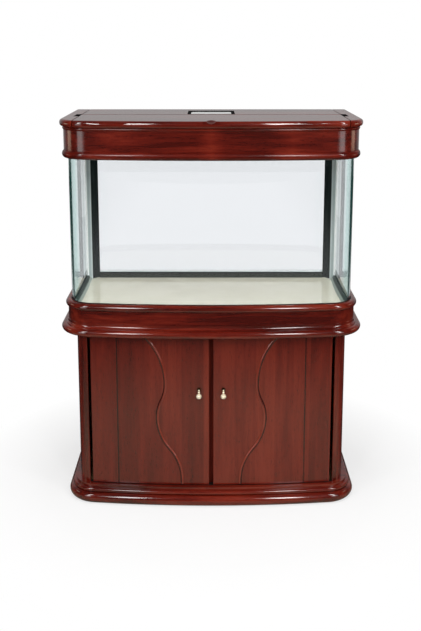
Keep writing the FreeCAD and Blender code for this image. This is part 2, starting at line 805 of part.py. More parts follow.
bead_radius = "base_bead_tall / 2"
bead_mid = "base_bead_low + base_bead_tall / 2"
bead_set = "(base_band_out - base_bead_out + %s)" % bead_radius
bead_start = "%s - sqrt((%s)^2 - %s^2)" % (bead_mid, bead_radius, bead_set)
base_section = [("-base_rebate", "base_low")]
base_section += nose("base_torus_out", "base_low", "base_torus_tall")
base_section += [
    ("base_quirk_out", "base_low + base_torus_tall"),
    ("base_quirk_out", "base_cove_low"),
    ("base_step_out", "base_cove_low + base_cove_tall", "base_cove_radius", -1),
    ("base_step_out", "base_band_low"),
    ("base_band_out", "base_band_low"),
    ("base_band_out", bead_start),
    ("base_bead_out", bead_mid, bead_radius, 1),
    ("base_bead_out - " + bead_radius, "base_top", bead_radius, 1),
    ("glass_room", "base_top"),
    ("glass_room", "deck_low"),
    ("-base_ledge", "deck_low"),
    ("-base_ledge", "cabinet_top_high"),
    ("-base_rebate", "cabinet_top_high"),
]
node(moulding("base_run", base_section, "back_face"), "tank_base_frame")
base_rail_half = "glass_half - base_ledge"
base_rail_x = ("-(%s)" % base_rail_half, base_rail_half)
base_rail = box("base_rail", base_rail_x, back_rail_y, ("base_low", "base_top"))
node(base_rail, "base_back_rail")

bearer_far = "bearer_at + bearer_half"
bearer_front = "bow_centre - sqrt((bow_radius - base_ledge)^2 - (%s)^2) + fit_gap" % bearer_far
bearers = []
for side, sign in sides:
    bearer_x = mirrored_span(sign, "bearer_at - bearer_half", bearer_far)
    bearer_y = (bearer_front, "back_face - rail_thick")
    bearers.append(box(side + "_bearer", bearer_x, bearer_y, ("cabinet_top_high", "deck_low")))
node(group("bearers", bearers), "deck_bearers")
node(slab("deck", "glass_room - fit_gap", "back_face - rail_thick", "deck_low", "deck_thick"), "tank_deck")

# Tank: bent front and side pane, rear pane, floor, black corner trims and the seal at the base

node(slab("mat", "-fit_gap", "glass_back", "deck_high", "mat_thick"), "tank_mat")
inside_out, inside_back = "-glass_thick - fit_gap", "glass_inner_back - fit_gap"
node(slab("bottom_pane", inside_out, inside_back, "glass_low", "pane_thick"), "bottom_glass")
node(slab("sheet", inside_out, inside_back, "sheet_low", "sheet_thick"), "tank_floor_sheet")
bent_pane = strip("bent_pane", "-glass_thick", "0", "glass_low", "glass_high", "glass_back")
node(bent_pane, "bent_front_glass")
rear_half = "glass_inner_half - fit_gap"
rear_x, rear_y = ("-(%s)" % rear_half, rear_half), ("glass_inner_back", "glass_back")
rear_pane = box("rear_pane", rear_x, rear_y, ("glass_low", "glass_high"))
node(rear_pane, "back_glass")
for side, sign in sides:
    trim = extrusion(side + "_trim", "XY_Plane", "tank_floor", "glass_high - tank_floor", [
        (across(sign, rear_half), inside_back),
        (across(sign, rear_half + " - trim_leg"), inside_back),
        (across(sign, rear_half), inside_back + " - trim_leg"),
    ])
    node(trim, side + "_corner_trim")
foot_half = rear_half + " - trim_leg"
foot_trim = extrusion("foot_trim", "YZ_Plane", "-(%s)" % foot_half, "2 * (%s)" % foot_half, [
    (inside_back, "tank_floor"),
    (inside_back, "tank_floor + foot_trim_tall"),
    (inside_back + " - foot_trim_lip", "tank_floor + foot_trim_tall"),
    (inside_back + " - foot_trim_deep", "tank_floor"),
])
node(foot_trim, "back_bottom_trim")
seal_z = ("base_top + gasket_proud - gasket_tall", "base_top + gasket_proud")
node(strip("seal", "fit_gap", "glass_room - fit_gap", *seal_z, "glass_back"), "glass_gasket")

# Hood: a moulded frame that hangs on the glass by a batten, under a bullnosed top board

hood_bead_radius = "hood_bead_tall / 2"
hood_bead_mid = "hood_low + hood_bead_tall / 2"
hood_bead_in = "hood_bead_out - " + hood_bead_radius
hood_bead_end = ("%s + sqrt((%s)^2 - (hood_fascia_out - (%s))^2)"
                 % (hood_bead_mid, hood_bead_radius, hood_bead_in))
astragal_rise = "(hood_astragal_out - hood_fascia_out)"
astragal_radius = "((hood_astragal_tall / 2)^2 + %s^2) / (2 * %s)" % (astragal_rise, astragal_rise)
hood_section = [
    ("hood_room", "hood_low"),
    (hood_bead_in, "hood_low"),
    ("hood_bead_out", hood_bead_mid, hood_bead_radius, 1),
    ("hood_fascia_out", hood_bead_end, hood_bead_radius, 1),
    ("hood_fascia_out", "hood_astragal_low"),
    ("hood_fascia_out", "board_low", astragal_radius, 1),
    ("hood_room", "board_low"),
]
node(moulding("hood_run", hood_section, "back_face"), "hood_frame")
hood_batten = strip("hood_batten_run", "hood_room - hood_batten", "hood_room - fit_gap",
                    "glass_high", "glass_high + hood_batten", "back_face - rail_thick")
node(hood_batten, "hood_rest_batten")
hood_rail_half = "glass_half + hood_room"
notch_low = "board_low - cable_notch_tall"


def notch_corners(middle):
    # An open notch in the rail's top edge, from right to left
    right_x, left_x = "%s + cable_notch_wide / 2" % middle, "%s - cable_notch_wide / 2" % middle
    return [(right_x, "board_low"), (right_x, notch_low), (left_x, notch_low), (left_x, "board_low")]


hood_rail_corners = [("-(%s)" % hood_rail_half, "board_low"), ("-(%s)" % hood_rail_half, "hood_low")]
hood_rail_corners += [(hood_rail_half, "hood_low"), (hood_rail_half, "board_low")]
hood_rail_corners += notch_corners("cable_notch_at") + notch_corners("-cable_notch_at")
hood_rail = extrusion("hood_rail", "XZ_Plane", "-back_face", "rail_thick", hood_rail_corners)
node(hood_rail, "hood_back_rail")

# The top board is made whole, then parted into end boards, rear cover and front lid

top_board = slab("top_board", "board_out", "back_face", "board_low", "board_thick")
doc.recompute()
board_pad = top_board.Tip
front_edges = [
    "Edge%d" % index for index, edge in enumerate(board_pad.Shape.Edges, start=1)
    if edge.BoundBox.ZLength < value("fit_gap") and edge.BoundBox.YMin < value("back_face - fit_gap")
]
bullnose = top_board.newObject("PartDesign::Fillet", "top_board_bullnose")
bullnose.Base = (board_pad, front_edges)
bind(bullnose, "Radius", "board_nose")

board_far = "glass_half + board_out"
board_y = ("-glass_front - board_out", "back_face")
board_z = ("board_low", "board_high")
slot_y = ("slot_front", "slot_rear")
end_near = "lid_half + lid_slot / 2"
for side, sign in sides:
    end_region = box(side + "_end_region", mirrored_span(sign, end_near, board_far), board_y, board_z)
    end_blank = common(side + "_end_blank", top_board, end_region)
    liner_near, liner_far = end_near, end_near + " + slot_wide"
    slot = box(side + "_hose_slot", mirrored_span(sign, liner_near, liner_far), slot_y, board_z)
    node(cut(side + "_end_cut", end_blank, [slot]), side + "_end_board")
    liner = extrusion(side + "_liner", "XY_Plane", "board_low", "board_thick", [
        (across(sign, liner_near), "slot_front"),
        (across(sign, liner_far), "slot_front"),
        (across(sign, liner_far), "slot_rear"),
        (across(sign, liner_near), "slot_rear"),
        (across(sign, liner_near), "slot_rear - liner_wall"),
        (across(sign, liner_far + " - liner_wall"), "slot_rear - liner_wall"),
        (across(sign, liner_far + " - liner_wall"), "slot_front + liner_wall"),
        (across(sign, liner_near), "slot_front + liner_wall"),
    ])
    node(liner, side + "_slot_liner")

cover_half = "lid_half - lid_slot / 2"
cover_x = ("-(%s)" % cover_half, cover_half)
cover_front = "lid_split + lid_split_gap / 2"
cover_region = box("cover_region", cover_x, (cover_front, "back_face"), board_z)
cover_blank = common("cover_blank", top_board, cover_region)
seat_x = ("-hatch_half - fit_gap", "hatch_half + fit_gap")
seat_y = ("hatch_front - fit_gap", "hatch_rear + fit_gap")
hatch_low = "board_high - hatch_frame_tall"
hatch_seat = box("hatch_seat", seat_x, seat_y, (hatch_low, "board_high"))
shelf_x = ("hatch_shelf - hatch_half", "hatch_half - hatch_shelf")
shelf_y = ("hatch_front + hatch_shelf", "hatch_rear - hatch_shelf")
hatch_through = box("hatch_through", shelf_x, shelf_y, board_z)
node(cut("cover_cut", cover_blank, [hatch_seat, hatch_through]), "rear_cover")
cleats = []
for side, sign in sides:
    cleat_x = mirrored_span(sign, "lid_half - batten_thick", "lid_half + batten_thick")
    cleat_y = ("slot_rear", "back_face - rail_thick")
    cleats.append(box(side + "_cleat", cleat_x, cleat_y, ("board_low - batten_thick", "board_low")))
node(group("cleats", cleats), "cover_cleats")

lid_region = box("lid_region", cover_x, (board_y[0], "lid_split - lid_split_gap / 2"),
                 ("board_low + fit_gap", "board_high"))
lid_blank = common("lid_blank", top_board, lid_region)
scoop = doc.addObject("Part::Ellipsoid", "lid_scoop")
for radius, text in (("Radius1", "scoop_tall"), ("Radius2", "scoop_wide"), ("Radius3", "scoop_long")):
    bind(scoop, radius, text + " / 2")
place(scoop, ("0", "-glass_front - board_out", "board_high + scoop_tall / 2 - scoop_deep"))
node(cut("lid_cut", lid_blank, [scoop]), "front_lid")

# Lid hinges: two butt hinges whose knuckles lie in the gap behind the lid


def hinge_leaf(name, middle, back, knuckles):
    # A leaf on one edge of the gap, with its knuckles and the webs that join them
    leaf_y = ("lid_split + lid_split_gap / 2 - leaf_thick", "lid_split + lid_split_gap / 2")
    web_y = ("lid_split", "lid_split + lid_split_gap / 2")
    if not back:
        leaf_y = ("lid_split - lid_split_gap / 2", "lid_split - lid_split_gap / 2 + leaf_thick")
        web_y = ("lid_split - lid_split_gap / 2", "lid_split")
    leaf_x = ("%s - hinge_half" % middle, "%s + hinge_half" % middle)
    pieces = [box(name + "_plate", leaf_x, leaf_y, ("hinge_z - leaf_tall", "hinge_z"))]
    for index, (low, high) in enumerate(knuckles):
        span = ("%s + (%s)" % (middle, low), "%s + (%s)" % (middle, high))
        web_z = ("hinge_z - knuckle_radius", "hinge_z - knuckle_radius + leaf_thick")
        pieces.append(box("%s_web_%d" % (name, index), span, web_y, web_z))
        length = "(%s) - (%s)" % (high, low)
        at = (span[0], "lid_split", "hinge_z")
        pieces.append(rod("%s_knuckle_%d" % (name, index), "knuckle_radius", length, at, along_x))
    bore_at = (leaf_x[0], "lid_split", "hinge_z")
    bore = rod(name + "_bore", "hinge_pin_radius + running_gap", "2 * hinge_half", bore_at, along_x)
    return cut(name, fuse(name + "_body", pieces), [bore])


fixed_leaves, moving_leaves, hinge_pins = [], [], []
outer_knuckles = [("-hinge_half", "-knuckle_half"), ("knuckle_half", "hinge_half")]
inner_knuckle = [("-knuckle_half + fit_gap", "knuckle_half - fit_gap")]
for side, sign in sides:
    middle = across(sign, "hinge_at")
    fixed_leaves.append(hinge_leaf(side + "_fixed_leaf", middle, True, outer_knuckles))
    moving_leaves.append(hinge_leaf(side + "_moving_leaf", middle, False, inner_knuckle))
    pin_at = ("%s - hinge_half" % middle, "lid_split", "hinge_z")
    hinge_pins.append(rod(side + "_hinge_pin", "hinge_pin_radius", "2 * hinge_half", pin_at, along_x))
node(group("fixed_leaves", fixed_leaves), "lid_hinge_fixed_leaves")
node(group("moving_leaves", moving_leaves), "lid_hinge_moving_leaves")
node(group("hinge_pins", hinge_pins), "lid_hinge_pins")

# Feeding hatch: a black frame let into the rear cover, with a flap on two side pivots

hatch_z = (hatch_low, "board_high")
frame_outer = box("frame_outer", ("-hatch_half", "hatch_half"), ("hatch_front", "hatch_rear"), hatch_z)
opening_half = "hatch_half - hatch_rim"
opening_x = ("-(%s)" % opening_half, opening_half)
opening_front, opening_rear = "hatch_front + hatch_rim", "hatch_rear - hatch_rim"
frame_opening = box("frame_opening", opening_x, (opening_front, opening_rear), hatch_z)
flap_half = opening_half + " - flap_clear"
flap_high = "board_high - flap_sink"
flap_low = flap_high + " - flap_thick"
flap_front, flap_rear = opening_front + " + flap_clear", opening_rear + " - flap_clear"
flap_axis_y = flap_rear + " - flap_pivot_inset"
flap_axis_z = flap_low + " + flap_thick / 2"
pivot_far = flap_half + " + flap_pivot_long"
pivot_bore = rod("flap_pivot_bore", "flap_pivot_radius + running_gap", "2 * (%s) + 2 * fit_gap" % pivot_far,
                 ("-(%s) - fit_gap" % pivot_far, flap_axis_y, flap_axis_z), along_x)
lip_y = (opening_front, opening_front + " + flap_lip")
frame_lip = box("frame_lip", opening_x, lip_y, (hatch_low, flap_low + " - fit_gap"))
hatch_ring = cut("hatch_ring", frame_outer, [frame_opening, pivot_bore])
node(fuse("hatch_ring_lip", [hatch_ring, frame_lip]), "hatch_frame")
scoop_arc = "(flap_scoop_half^2 + flap_scoop_deep^2) / (2 * flap_scoop_deep)"
flap_plate = extrusion("flap_plate", "XY_Plane", flap_low, "flap_thick", [
    ("-(%s)" % flap_half, flap_front),
    ("-flap_scoop_half", flap_front),
    ("flap_scoop_half", flap_front, scoop_arc, -1),
    (flap_half, flap_front),
    (flap_half, flap_rear),
    ("-(%s)" % flap_half, flap_rear),
])
flap_pivot = rod("flap_pivot", "flap_pivot_radius", "2 * (%s)" % pivot_far,
                 ("-(%s)" % pivot_far, flap_axis_y, flap_axis_z), along_x)
node(fuse("flap_body", [flap_plate, flap_pivot]), "hatch_flap")

# Light: a reflector channel with two tubes, held under the end boards by brackets

light_high = "board_low - light_clear"
light_low = light_high + " - light_tall"
light = extrusion("light_channel", "YZ_Plane", "-light_half", "2 * light_half", [
    ("light_front", light_low),
    ("light_front + light_wall", light_low),
    ("light_front + light_flare + light_wall", light_high + " - light_wall"),
    ("light_rear - light_flare - light_wall", light_high + " - light_wall"),
    ("light_rear - light_wall", light_low),
    ("light_rear", light_low),
    ("light_rear - light_flare", light_high),
    ("light_front + light_flare", light_high),
])
node(light, "light_housing")
brackets = []
for side, sign in sides:
    bracket_x = mirrored_span(sign, "light_half", "light_half + bracket_thick")
    bracket_y = ("light_front", "light_rear")
    brackets.append(box(side + "_bracket", bracket_x, bracket_y, (light_low, "board_low")))
node(group("brackets", brackets), "light_brackets")
tubes, sockets = [], []
tube_z = light_high + " - light_wall - socket_radius"
for place_name, sign in (("front", -1), ("rear", 1)):
    tube_y = "(light_front + light_rear) / 2 + " + across(sign, "tube_apart / 2")
    tube_at = ("-tube_half", tube_y, tube_z)
    tubes.append(rod(place_name + "_tube", "tube_radius", "2 * tube_half", tube_at, along_x))
    for side, start in (("left", "-tube_half - socket_long"), ("right", "tube_half")):
        name = "%s_%s_socket" % (side, place_name)
        sockets.append(rod(name, "socket_radius", "socket_long", (start, tube_y, tube_z), along_x))
node(group("tubes", tubes), "light_tubes")
node(group("sockets", sockets), "tube_sockets")

# Checks, then one file for each sub-part

doc.recompute()
for item in doc.Objects:
    if "Invalid" in item.State or "Error" in item.State:
        raise RuntimeError("failed: %s %s" % (item.Name, item.State))
for item in nodes:
    if item.Shape.isNull() or not item.Shape.isValid() or not item.Shape.Solids:
        raise RuntimeError("bad shape: " + item.Label)
os.makedirs("parts", exist_ok=True)
for item in nodes:
    item.Shape.exportStep("parts/%s.step" % item.Label)
print(len(nodes), "sub-parts,", sum(len(item.Shape.Solids) for item in nodes), "solids")
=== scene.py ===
import json
import math

import bpy
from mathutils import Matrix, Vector

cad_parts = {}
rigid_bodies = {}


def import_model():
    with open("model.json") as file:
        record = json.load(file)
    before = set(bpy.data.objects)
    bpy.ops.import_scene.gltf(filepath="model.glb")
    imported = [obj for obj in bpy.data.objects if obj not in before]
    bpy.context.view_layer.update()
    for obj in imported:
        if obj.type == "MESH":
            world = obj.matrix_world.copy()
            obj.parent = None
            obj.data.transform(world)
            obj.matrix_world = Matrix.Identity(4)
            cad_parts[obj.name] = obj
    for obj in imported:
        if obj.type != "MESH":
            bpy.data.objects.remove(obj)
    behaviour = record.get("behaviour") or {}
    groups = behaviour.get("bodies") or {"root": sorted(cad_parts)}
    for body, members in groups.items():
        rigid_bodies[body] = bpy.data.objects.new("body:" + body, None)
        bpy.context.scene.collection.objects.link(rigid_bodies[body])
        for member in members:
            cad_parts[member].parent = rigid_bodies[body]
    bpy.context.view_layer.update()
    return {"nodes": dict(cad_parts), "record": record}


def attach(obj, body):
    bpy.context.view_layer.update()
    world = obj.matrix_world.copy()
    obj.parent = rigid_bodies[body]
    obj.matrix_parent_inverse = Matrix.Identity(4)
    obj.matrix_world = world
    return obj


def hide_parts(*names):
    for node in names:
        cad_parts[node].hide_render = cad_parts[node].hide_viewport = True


bpy.ops.object.select_all(action="SELECT")
bpy.ops.object.delete()  # start-up cube, lamp and camera
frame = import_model()
nodes = frame["nodes"]
fixedBody = "stand_tank_and_hood"
print("frame loaded,", len(nodes), "nodes")

# Camera

cameraSet = {
    "lens": 50.773,
    "sensor": 36.0,
    "place": (0.0, -3.0437, 1.5847),
    "pitch": 10.437,
    "shift": (-0.0011, -0.1817),
    "farthest": 60,
}


def addCamera():
    tilt = math.radians(90 - cameraSet["pitch"])
    bpy.ops.object.camera_add(location=cameraSet["place"], rotation=(tilt, 0, 0))
    camera = bpy.context.object
    camera.name = "photo_camera"
    camera.data.lens = cameraSet["lens"]
    camera.data.sensor_width = cameraSet["sensor"]
    camera.data.shift_x, camera.data.shift_y = cameraSet["shift"]
    camera.data.clip_end = cameraSet["farthest"]
    bpy.context.scene.camera = camera


addCamera()
print("camera placed")

# Shader helpers

wideSpan = (0.3, 0.7)  # nearly all of a noise lies in here
middleSpan = (0.35, 0.65)
narrowSpan = (0.36, 0.64)
noiseMiddle = 0.5
oneBounce = 0.5  # a ray's depth below this means no bounce yet


def addNode(tree, kind, **settings):
    node = tree.nodes.new(kind)
    for name, value in settings.items():
        setattr(node, name, value)
    return node


def feed(tree, source, target):
    tree.links.new(source, target)


def fill(tree, socket, value):
    # a plain value goes on the socket, an output is linked to it
    if isinstance(value, (int, float, tuple)):
        socket.default_value = value
    else:
        feed(tree, value, socket)


def emptyMaterial(name):
    material = bpy.data.materials.new(name)
    material.use_nodes = True
    tree = material.node_tree
    tree.nodes.clear()
    output = addNode(tree, "ShaderNodeOutputMaterial")
    return material, tree, output


def paintShader(name, **sockets):
    material, tree, output = emptyMaterial(name)
    shader = addNode(tree, "ShaderNodeBsdfPrincipled")
    for socket, value in sockets.items():
        shader.inputs[socket.replace("_", " ")].default_value = value
    feed(tree, shader.outputs[0], output.inputs["Surface"])
    return material, tree, shader


def sums(tree, operation, first, second=0.0):
    node = addNode(tree, "ShaderNodeMath", operation=operation)
    fill(tree, node.inputs[0], first)
    fill(tree, node.inputs[1], second)
    return node.outputs[0]


def product(tree, first, *others):
    for other in others:
        first = sums(tree, "MULTIPLY", first, other)
    return first


def distance(tree, value, place):
    return sums(tree, "ABSOLUTE", sums(tree, "SUBTRACT", value, place))


def weighted(tree, *pairs):
    total = None
    for value, weight in pairs:
        part = sums(tree, "MULTIPLY", value, weight)
        total = part if total is None else sums(tree, "ADD", total, part)
    return total


def blendNumbers(tree, share, first, second):
    node = addNode(tree, "ShaderNodeMix", data_type="FLOAT")
    for socket, value in zip((node.inputs[0], node.inputs[2], node.inputs[3]), (share, first, second)):
        fill(tree, socket, value)
    return node.outputs[0]


def blendColours(tree, share, first, second, kind="MIX"):
    node = addNode(tree, "ShaderNodeMix", data_type="RGBA", blend_type=kind)
    for socket, value in zip((node.inputs[0], node.inputs[6], node.inputs[7]), (share, first, second)):
        fill(tree, socket, value)
    return node.outputs[2]


def blendShaders(tree, share, first, second):
    node = addNode(tree, "ShaderNodeMixShader")
    for socket, value in zip(node.inputs, (share, first, second)):
        fill(tree, socket, value)
    return node.outputs[0]


def spread(tree, value, low, high, outLow=0.0, outHigh=1.0):
    node = addNode(tree, "ShaderNodeMapRange", clamp=True)
    feed(tree, value, node.inputs["Value"])
    node.inputs["From Min"].default_value = low
    node.inputs["From Max"].default_value = high
    node.inputs["To Min"].default_value = outLow
    node.inputs["To Max"].default_value = outHigh
    return node.outputs[0]


def ramp(tree, value, stops):
    node = addNode(tree, "ShaderNodeValToRGB")
    elements = node.color_ramp.elements
    while len(elements) < len(stops):
        elements.new(0.5)
    for element, (place, colour) in zip(elements, stops):
        element.position = place
        element.color = colour + (1.0,)
    feed(tree, value, node.inputs[0])
    return node.outputs[0]


def fade(tree, value, first, second):
    return ramp(tree, value, [(0.0, first), (1.0, second)])


def bands(tree, value, settings, key):
    # a ramp through the tones that the settings name
    return ramp(tree, value, [(place, settings[tone]) for place, tone in settings[key]])


def noise(tree, vector, scale, detail, roughness=0.5, warp=0.0):
    node = addNode(tree, "ShaderNodeTexNoise")
    feed(tree, vector, node.inputs["Vector"])
    node.inputs["Scale"].default_value = scale
    node.inputs["Detail"].default_value = detail
    node.inputs["Roughness"].default_value = roughness
    node.inputs["Distortion"].default_value = warp
    return node.outputs[0]


def stretched(tree, scale=(1, 1, 1), shift=(0, 0, 0)):
    coords = addNode(tree, "ShaderNodeTexCoord")
    mapping = addNode(tree, "ShaderNodeMapping")
    mapping.inputs["Scale"].default_value = scale
    mapping.inputs["Location"].default_value = shift
    feed(tree, coords.outputs["Object"], mapping.inputs["Vector"])
    return mapping.outputs[0]


def partsOf(tree, vector):
    split = addNode(tree, "ShaderNodeSeparateXYZ")
    feed(tree, vector, split.inputs[0])
    return split.outputs


def separated(tree, output="Object"):
    return partsOf(tree, addNode(tree, "ShaderNodeTexCoord").outputs[output])


def bump(tree, height, strength, depth):
    node = addNode(tree, "ShaderNodeBump")
    node.inputs["Strength"].default_value = strength
    node.inputs["Distance"].default_value = depth
    feed(tree, height, node.inputs["Height"])
    return node.outputs[0]


def dress(material, *names):
    for name in names:
        slots = nodes[name].data.materials
        slots.clear()
        slots.append(material)


# Red mahogany under clear lacquer; a noise has scale, detail, roughness and warp

mahoganySet = {
    "dark": (0.052, 0.0030, 0.0014),
    "middle": (0.108, 0.0074, 0.0030),
    "light": (0.168, 0.0165, 0.0070),
    "tones": ((0.0, "dark"), (0.5, "middle"), (1.0, "light")),
    "paintedShade": (0.020, 0.0010, 0.0006, 1.0),
    "ior": 1.45,
    "gloss": 0.05,
    "coatIor": 1.7,
    "coatRoughness": 0.10,
    "hoodRoughness": 0.16,
    "baseRoughness": (0.30, 0.44),
    "alongGrain": 1.1,
    "acrossGrain": 17.0,
    "figureWidth": 0.42,
    "poreTimes": 9,
    "figure": (1.3, 3.0, 0.55, 0.6),
    "streaks": (3.4, 7.0, 0.66, 0.25),
    "pores": (5.0, 2.0),
    "poreSpan": (0.60, 0.72),
    "poreShade": (0.45, 0.40, 0.40, 1.0),
    "cornerTurn": (0.55, 0.85),
    "mix": (0.5, 0.5),
    "span": (0.41, 0.60),
    "relief": (0.10, 0.0004),
}


def grainScale(axis, along, across):
    scale = [across, across, across]
    scale["XYZ".index(axis)] = along
    return tuple(scale)


def grainFields(tree, axis, shift):
    # broad figure, fine streaks and pores, all drawn out along one axis
    along, across, times = mahoganySet["alongGrain"], mahoganySet["acrossGrain"], mahoganySet["poreTimes"]
    wide = stretched(tree, grainScale(axis, along, across * mahoganySet["figureWidth"]), shift)
    fine = stretched(tree, grainScale(axis, along, across), shift)
    thin = stretched(tree, grainScale(axis, along * times, across * times), shift)
    figure = noise(tree, wide, *mahoganySet["figure"])
    streaks = noise(tree, fine, *mahoganySet["streaks"])
    pores = noise(tree, thin, *mahoganySet["pores"])
    return figure, streaks, pores


# Doors: upright leaves of veneer, and painted shade in the groove

doorSet = {
    "leafScale": 15.0,
    "leafJitter": 0.7,
    "leafMix": (0.36, 0.34, 0.12),
    "leafLift": 0.10,
    "leafSpan": (0.33, 0.67),
    "grooveAt": 0.3195,
    "grooveHalf": 0.0022,
    "grooveFade": 1.3,
    "groovePaintedShade": 0.6,
}


def veneerLeaves(tree, shift):
    # each leaf is a little lighter or darker
    cells = addNode(tree, "ShaderNodeTexVoronoi", voronoi_dimensions="1D")
    feed(tree, partsOf(tree, stretched(tree, shift=shift))[0], cells.inputs["W"])
    cells.inputs["Scale"].default_value = doorSet["leafScale"]
    cells.inputs["Randomness"].default_value = doorSet["leafJitter"]
    tone = addNode(tree, "ShaderNodeSeparateColor")
    feed(tree, cells.outputs["Color"], tone.inputs[0])
    return tone.outputs[0]


# painted shade: the groove in each door is darkened
def groovePaintedShade(tree, colour):
    half = doorSet["grooveHalf"]
    away = distance(tree, sums(tree, "ABSOLUTE", separated(tree)[0]), doorSet["grooveAt"])
    share = spread(tree, away, half, half * doorSet["grooveFade"], doorSet["groovePaintedShade"], 0.0)
    return blendColours(tree, share, colour, mahoganySet["paintedShade"])


# S-shaped beads: painted shade on the sides that face out and down, painted light on the sides that face in
# and up

beadSet = {
    "paintedLight": (0.20, 0.030, 0.016, 1.0),
    "outward": 0.8,
    "upward": -0.6,
    "shadeFrom": (0.02, 0.40),
    "lightFrom": (-0.05, -0.45),
}


def beadPaintedLight(tree, colour):
    across, _, _ = separated(tree)
    faceX, _, faceZ = separated(tree, "Normal")
    # the lean is high where the bead faces out and down: painted shade there, painted light where it faces in
    # and up
    outward = product(tree, sums(tree, "SIGN", across), faceX)
    lean = weighted(tree, (outward, beadSet["outward"]), (faceZ, beadSet["upward"]))
    paintedShade = spread(tree, lean, *beadSet["shadeFrom"])
    colour = blendColours(tree, paintedShade, colour, mahoganySet["paintedShade"])
    return blendColours(tree, spread(tree, lean, *beadSet["lightFrom"]), colour, beadSet["paintedLight"])


# Hood frame: lighter bands of painted sheen along the fascia, each a place along X, a half width and a lift,
# and thin lacquer on the beads

hoodSet = {
    "paintedSheen": ((-0.335, 0.16, 0.06), (0.0, 0.045, 0.085), (0.257, 0.085, 0.10), (0.39, 0.15, 0.06)),
    "paintedSheenBase": 0.05,
    "fasciaMiddle": 1.255,
    "fasciaHalf": 0.031,
    "beadEdge": 0.003,
    "beadCoat": 0.45,
}


# painted sheen: lighter bands of the wood along the fascia
def paintedSheenLift(tree):
    along = separated(tree)[0]
    total = None
    for place, half, lift in hoodSet["paintedSheen"]:
        share = spread(tree, distance(tree, along, place), half, 0.0, 0.0, lift)
        total = share if total is None else sums(tree, "ADD", total, share)
    return sums(tree, "SUBTRACT", total, hoodSet["paintedSheenBase"])


def hoodCoat(tree):
    half = hoodSet["fasciaHalf"]
    level = distance(tree, separated(tree)[2], hoodSet["fasciaMiddle"])
    return spread(tree, level, half, half + hoodSet["beadEdge"], 1.0, hoodSet["beadCoat"])


# Finger notch of the lid, bare of lacquer, with painted shade in it

notchSet = {
    "half": (0.030, 0.026),
    "front": (-0.190, -0.194),
    "high": (1.3219, 1.3212),
    "low": (1.3122, 1.3138),
    "coat": 0.10,
    "shadeShare": 0.45,
}


def notchShare(tree):
    # 1 in the notch, 0 elsewhere
    across, deep, high = separated(tree)
    return product(
        tree, spread(tree, sums(tree, "ABSOLUTE", across), *notchSet["half"]),
        spread(tree, deep, *notchSet["front"]), spread(tree, high, *notchSet["high"]),
        spread(tree, high, *notchSet["low"]))


def mahogany(name, axes, shift=(0, 0, 0), leaves=False, bead=False, hood=False, notch=False):
    settings = mahoganySet
    material, tree, shader = paintShader(
        name, IOR=settings["ior"], Specular_IOR_Level=settings["gloss"],
        Coat_Weight=1.0, Coat_IOR=settings["coatIor"],
        Coat_Roughness=settings["hoodRoughness" if hood else "coatRoughness"])
    figure, streaks, pores = grainFields(tree, axes[0], shift)
    if len(axes) > 1:
        # a moulding turns the corner, and its grain goes with it
        faceX = separated(tree, "Normal")[0]
        sideways = spread(tree, sums(tree, "ABSOLUTE", faceX), *settings["cornerTurn"])
        others = grainFields(tree, axes[1], shift)
        figure, streaks, pores = [
            blendNumbers(tree, sideways, first, second)
            for first, second in zip((figure, streaks, pores), others)]
    span = settings["span"]
    if leaves:
        tone = weighted(tree, *zip((figure, streaks, veneerLeaves(tree, shift)), doorSet["leafMix"]))
        tone = sums(tree, "ADD", tone, doorSet["leafLift"])
        span = doorSet["leafSpan"]
    else:
        tone = weighted(tree, *zip((figure, streaks), settings["mix"]))
    # painted sheen along the hood's fascia
    if hood:
        tone = sums(tree, "ADD", tone, paintedSheenLift(tree))
        feed(tree, hoodCoat(tree), shader.inputs["Coat Weight"])
    colour = bands(tree, spread(tree, tone, *span), settings, "tones")
    shaded = blendColours(tree, 1.0, colour, settings["poreShade"], "MULTIPLY")
    colour = blendColours(tree, spread(tree, pores, *settings["poreSpan"]), colour, shaded)
    # painted shade and painted light on the bead's sides
    if bead:
        colour = beadPaintedLight(tree, colour)
    # painted shade in the door's groove
    if leaves:
        colour = groovePaintedShade(tree, colour)
    if notch:
        bare = notchShare(tree)
        # thinner lacquer in the finger notch, and painted shade mixed into its colour
        feed(tree, spread(tree, bare, 0.0, 1.0, 1.0, notchSet["coat"]), shader.inputs["Coat Weight"])
        colour = blendColours(tree, product(tree, bare, notchSet["shadeShare"]), colour, settings["paintedShade"])
    feed(tree, colour, shader.inputs["Base Color"])
    feed(tree, spread(tree, streaks, *wideSpan, *settings["baseRoughness"]), shader.inputs["Roughness"])
    feed(tree, bump(tree, streaks, *settings["relief"]), shader.inputs["Normal"])
    return material


# Stained edge wood, dull and dark, behind the gap of the doors

stainSet = {
    "dark": (0.060, 0.0060, 0.0030),
    "light": (0.130, 0.0130, 0.0060),
    "ior": 1.45,
    "gloss": 0.1,
    "grain": ("Z", 1.2, 30.0),
    "streaks": (3.0, 5.0, 0.6),
    "roughness": (0.6, 0.8),
    "relief": (0.2, 0.0005),
}


def stainedWood(name):
    material, tree, shader = paintShader(name, IOR=stainSet["ior"], Specular_IOR_Level=stainSet["gloss"])
    streaks = noise(tree, stretched(tree, grainScale(*stainSet["grain"])), *stainSet["streaks"])
    tone = spread(tree, streaks, *narrowSpan)
    feed(tree, fade(tree, tone, stainSet["dark"], stainSet["light"]), shader.inputs["Base Color"])
    feed(tree, spread(tree, streaks, *wideSpan, *stainSet["roughness"]), shader.inputs["Roughness"])
    feed(tree, bump(tree, streaks, *stainSet["relief"]), shader.inputs["Normal"])
    return material


# Plain board for the hidden boards; an edge that shows has a tone, an axis and where the tone begins. The
# floor board's front edge is painted near black as shade, and the rail's top edge is painted pale, standing
# in for the bright backdrop seen past it

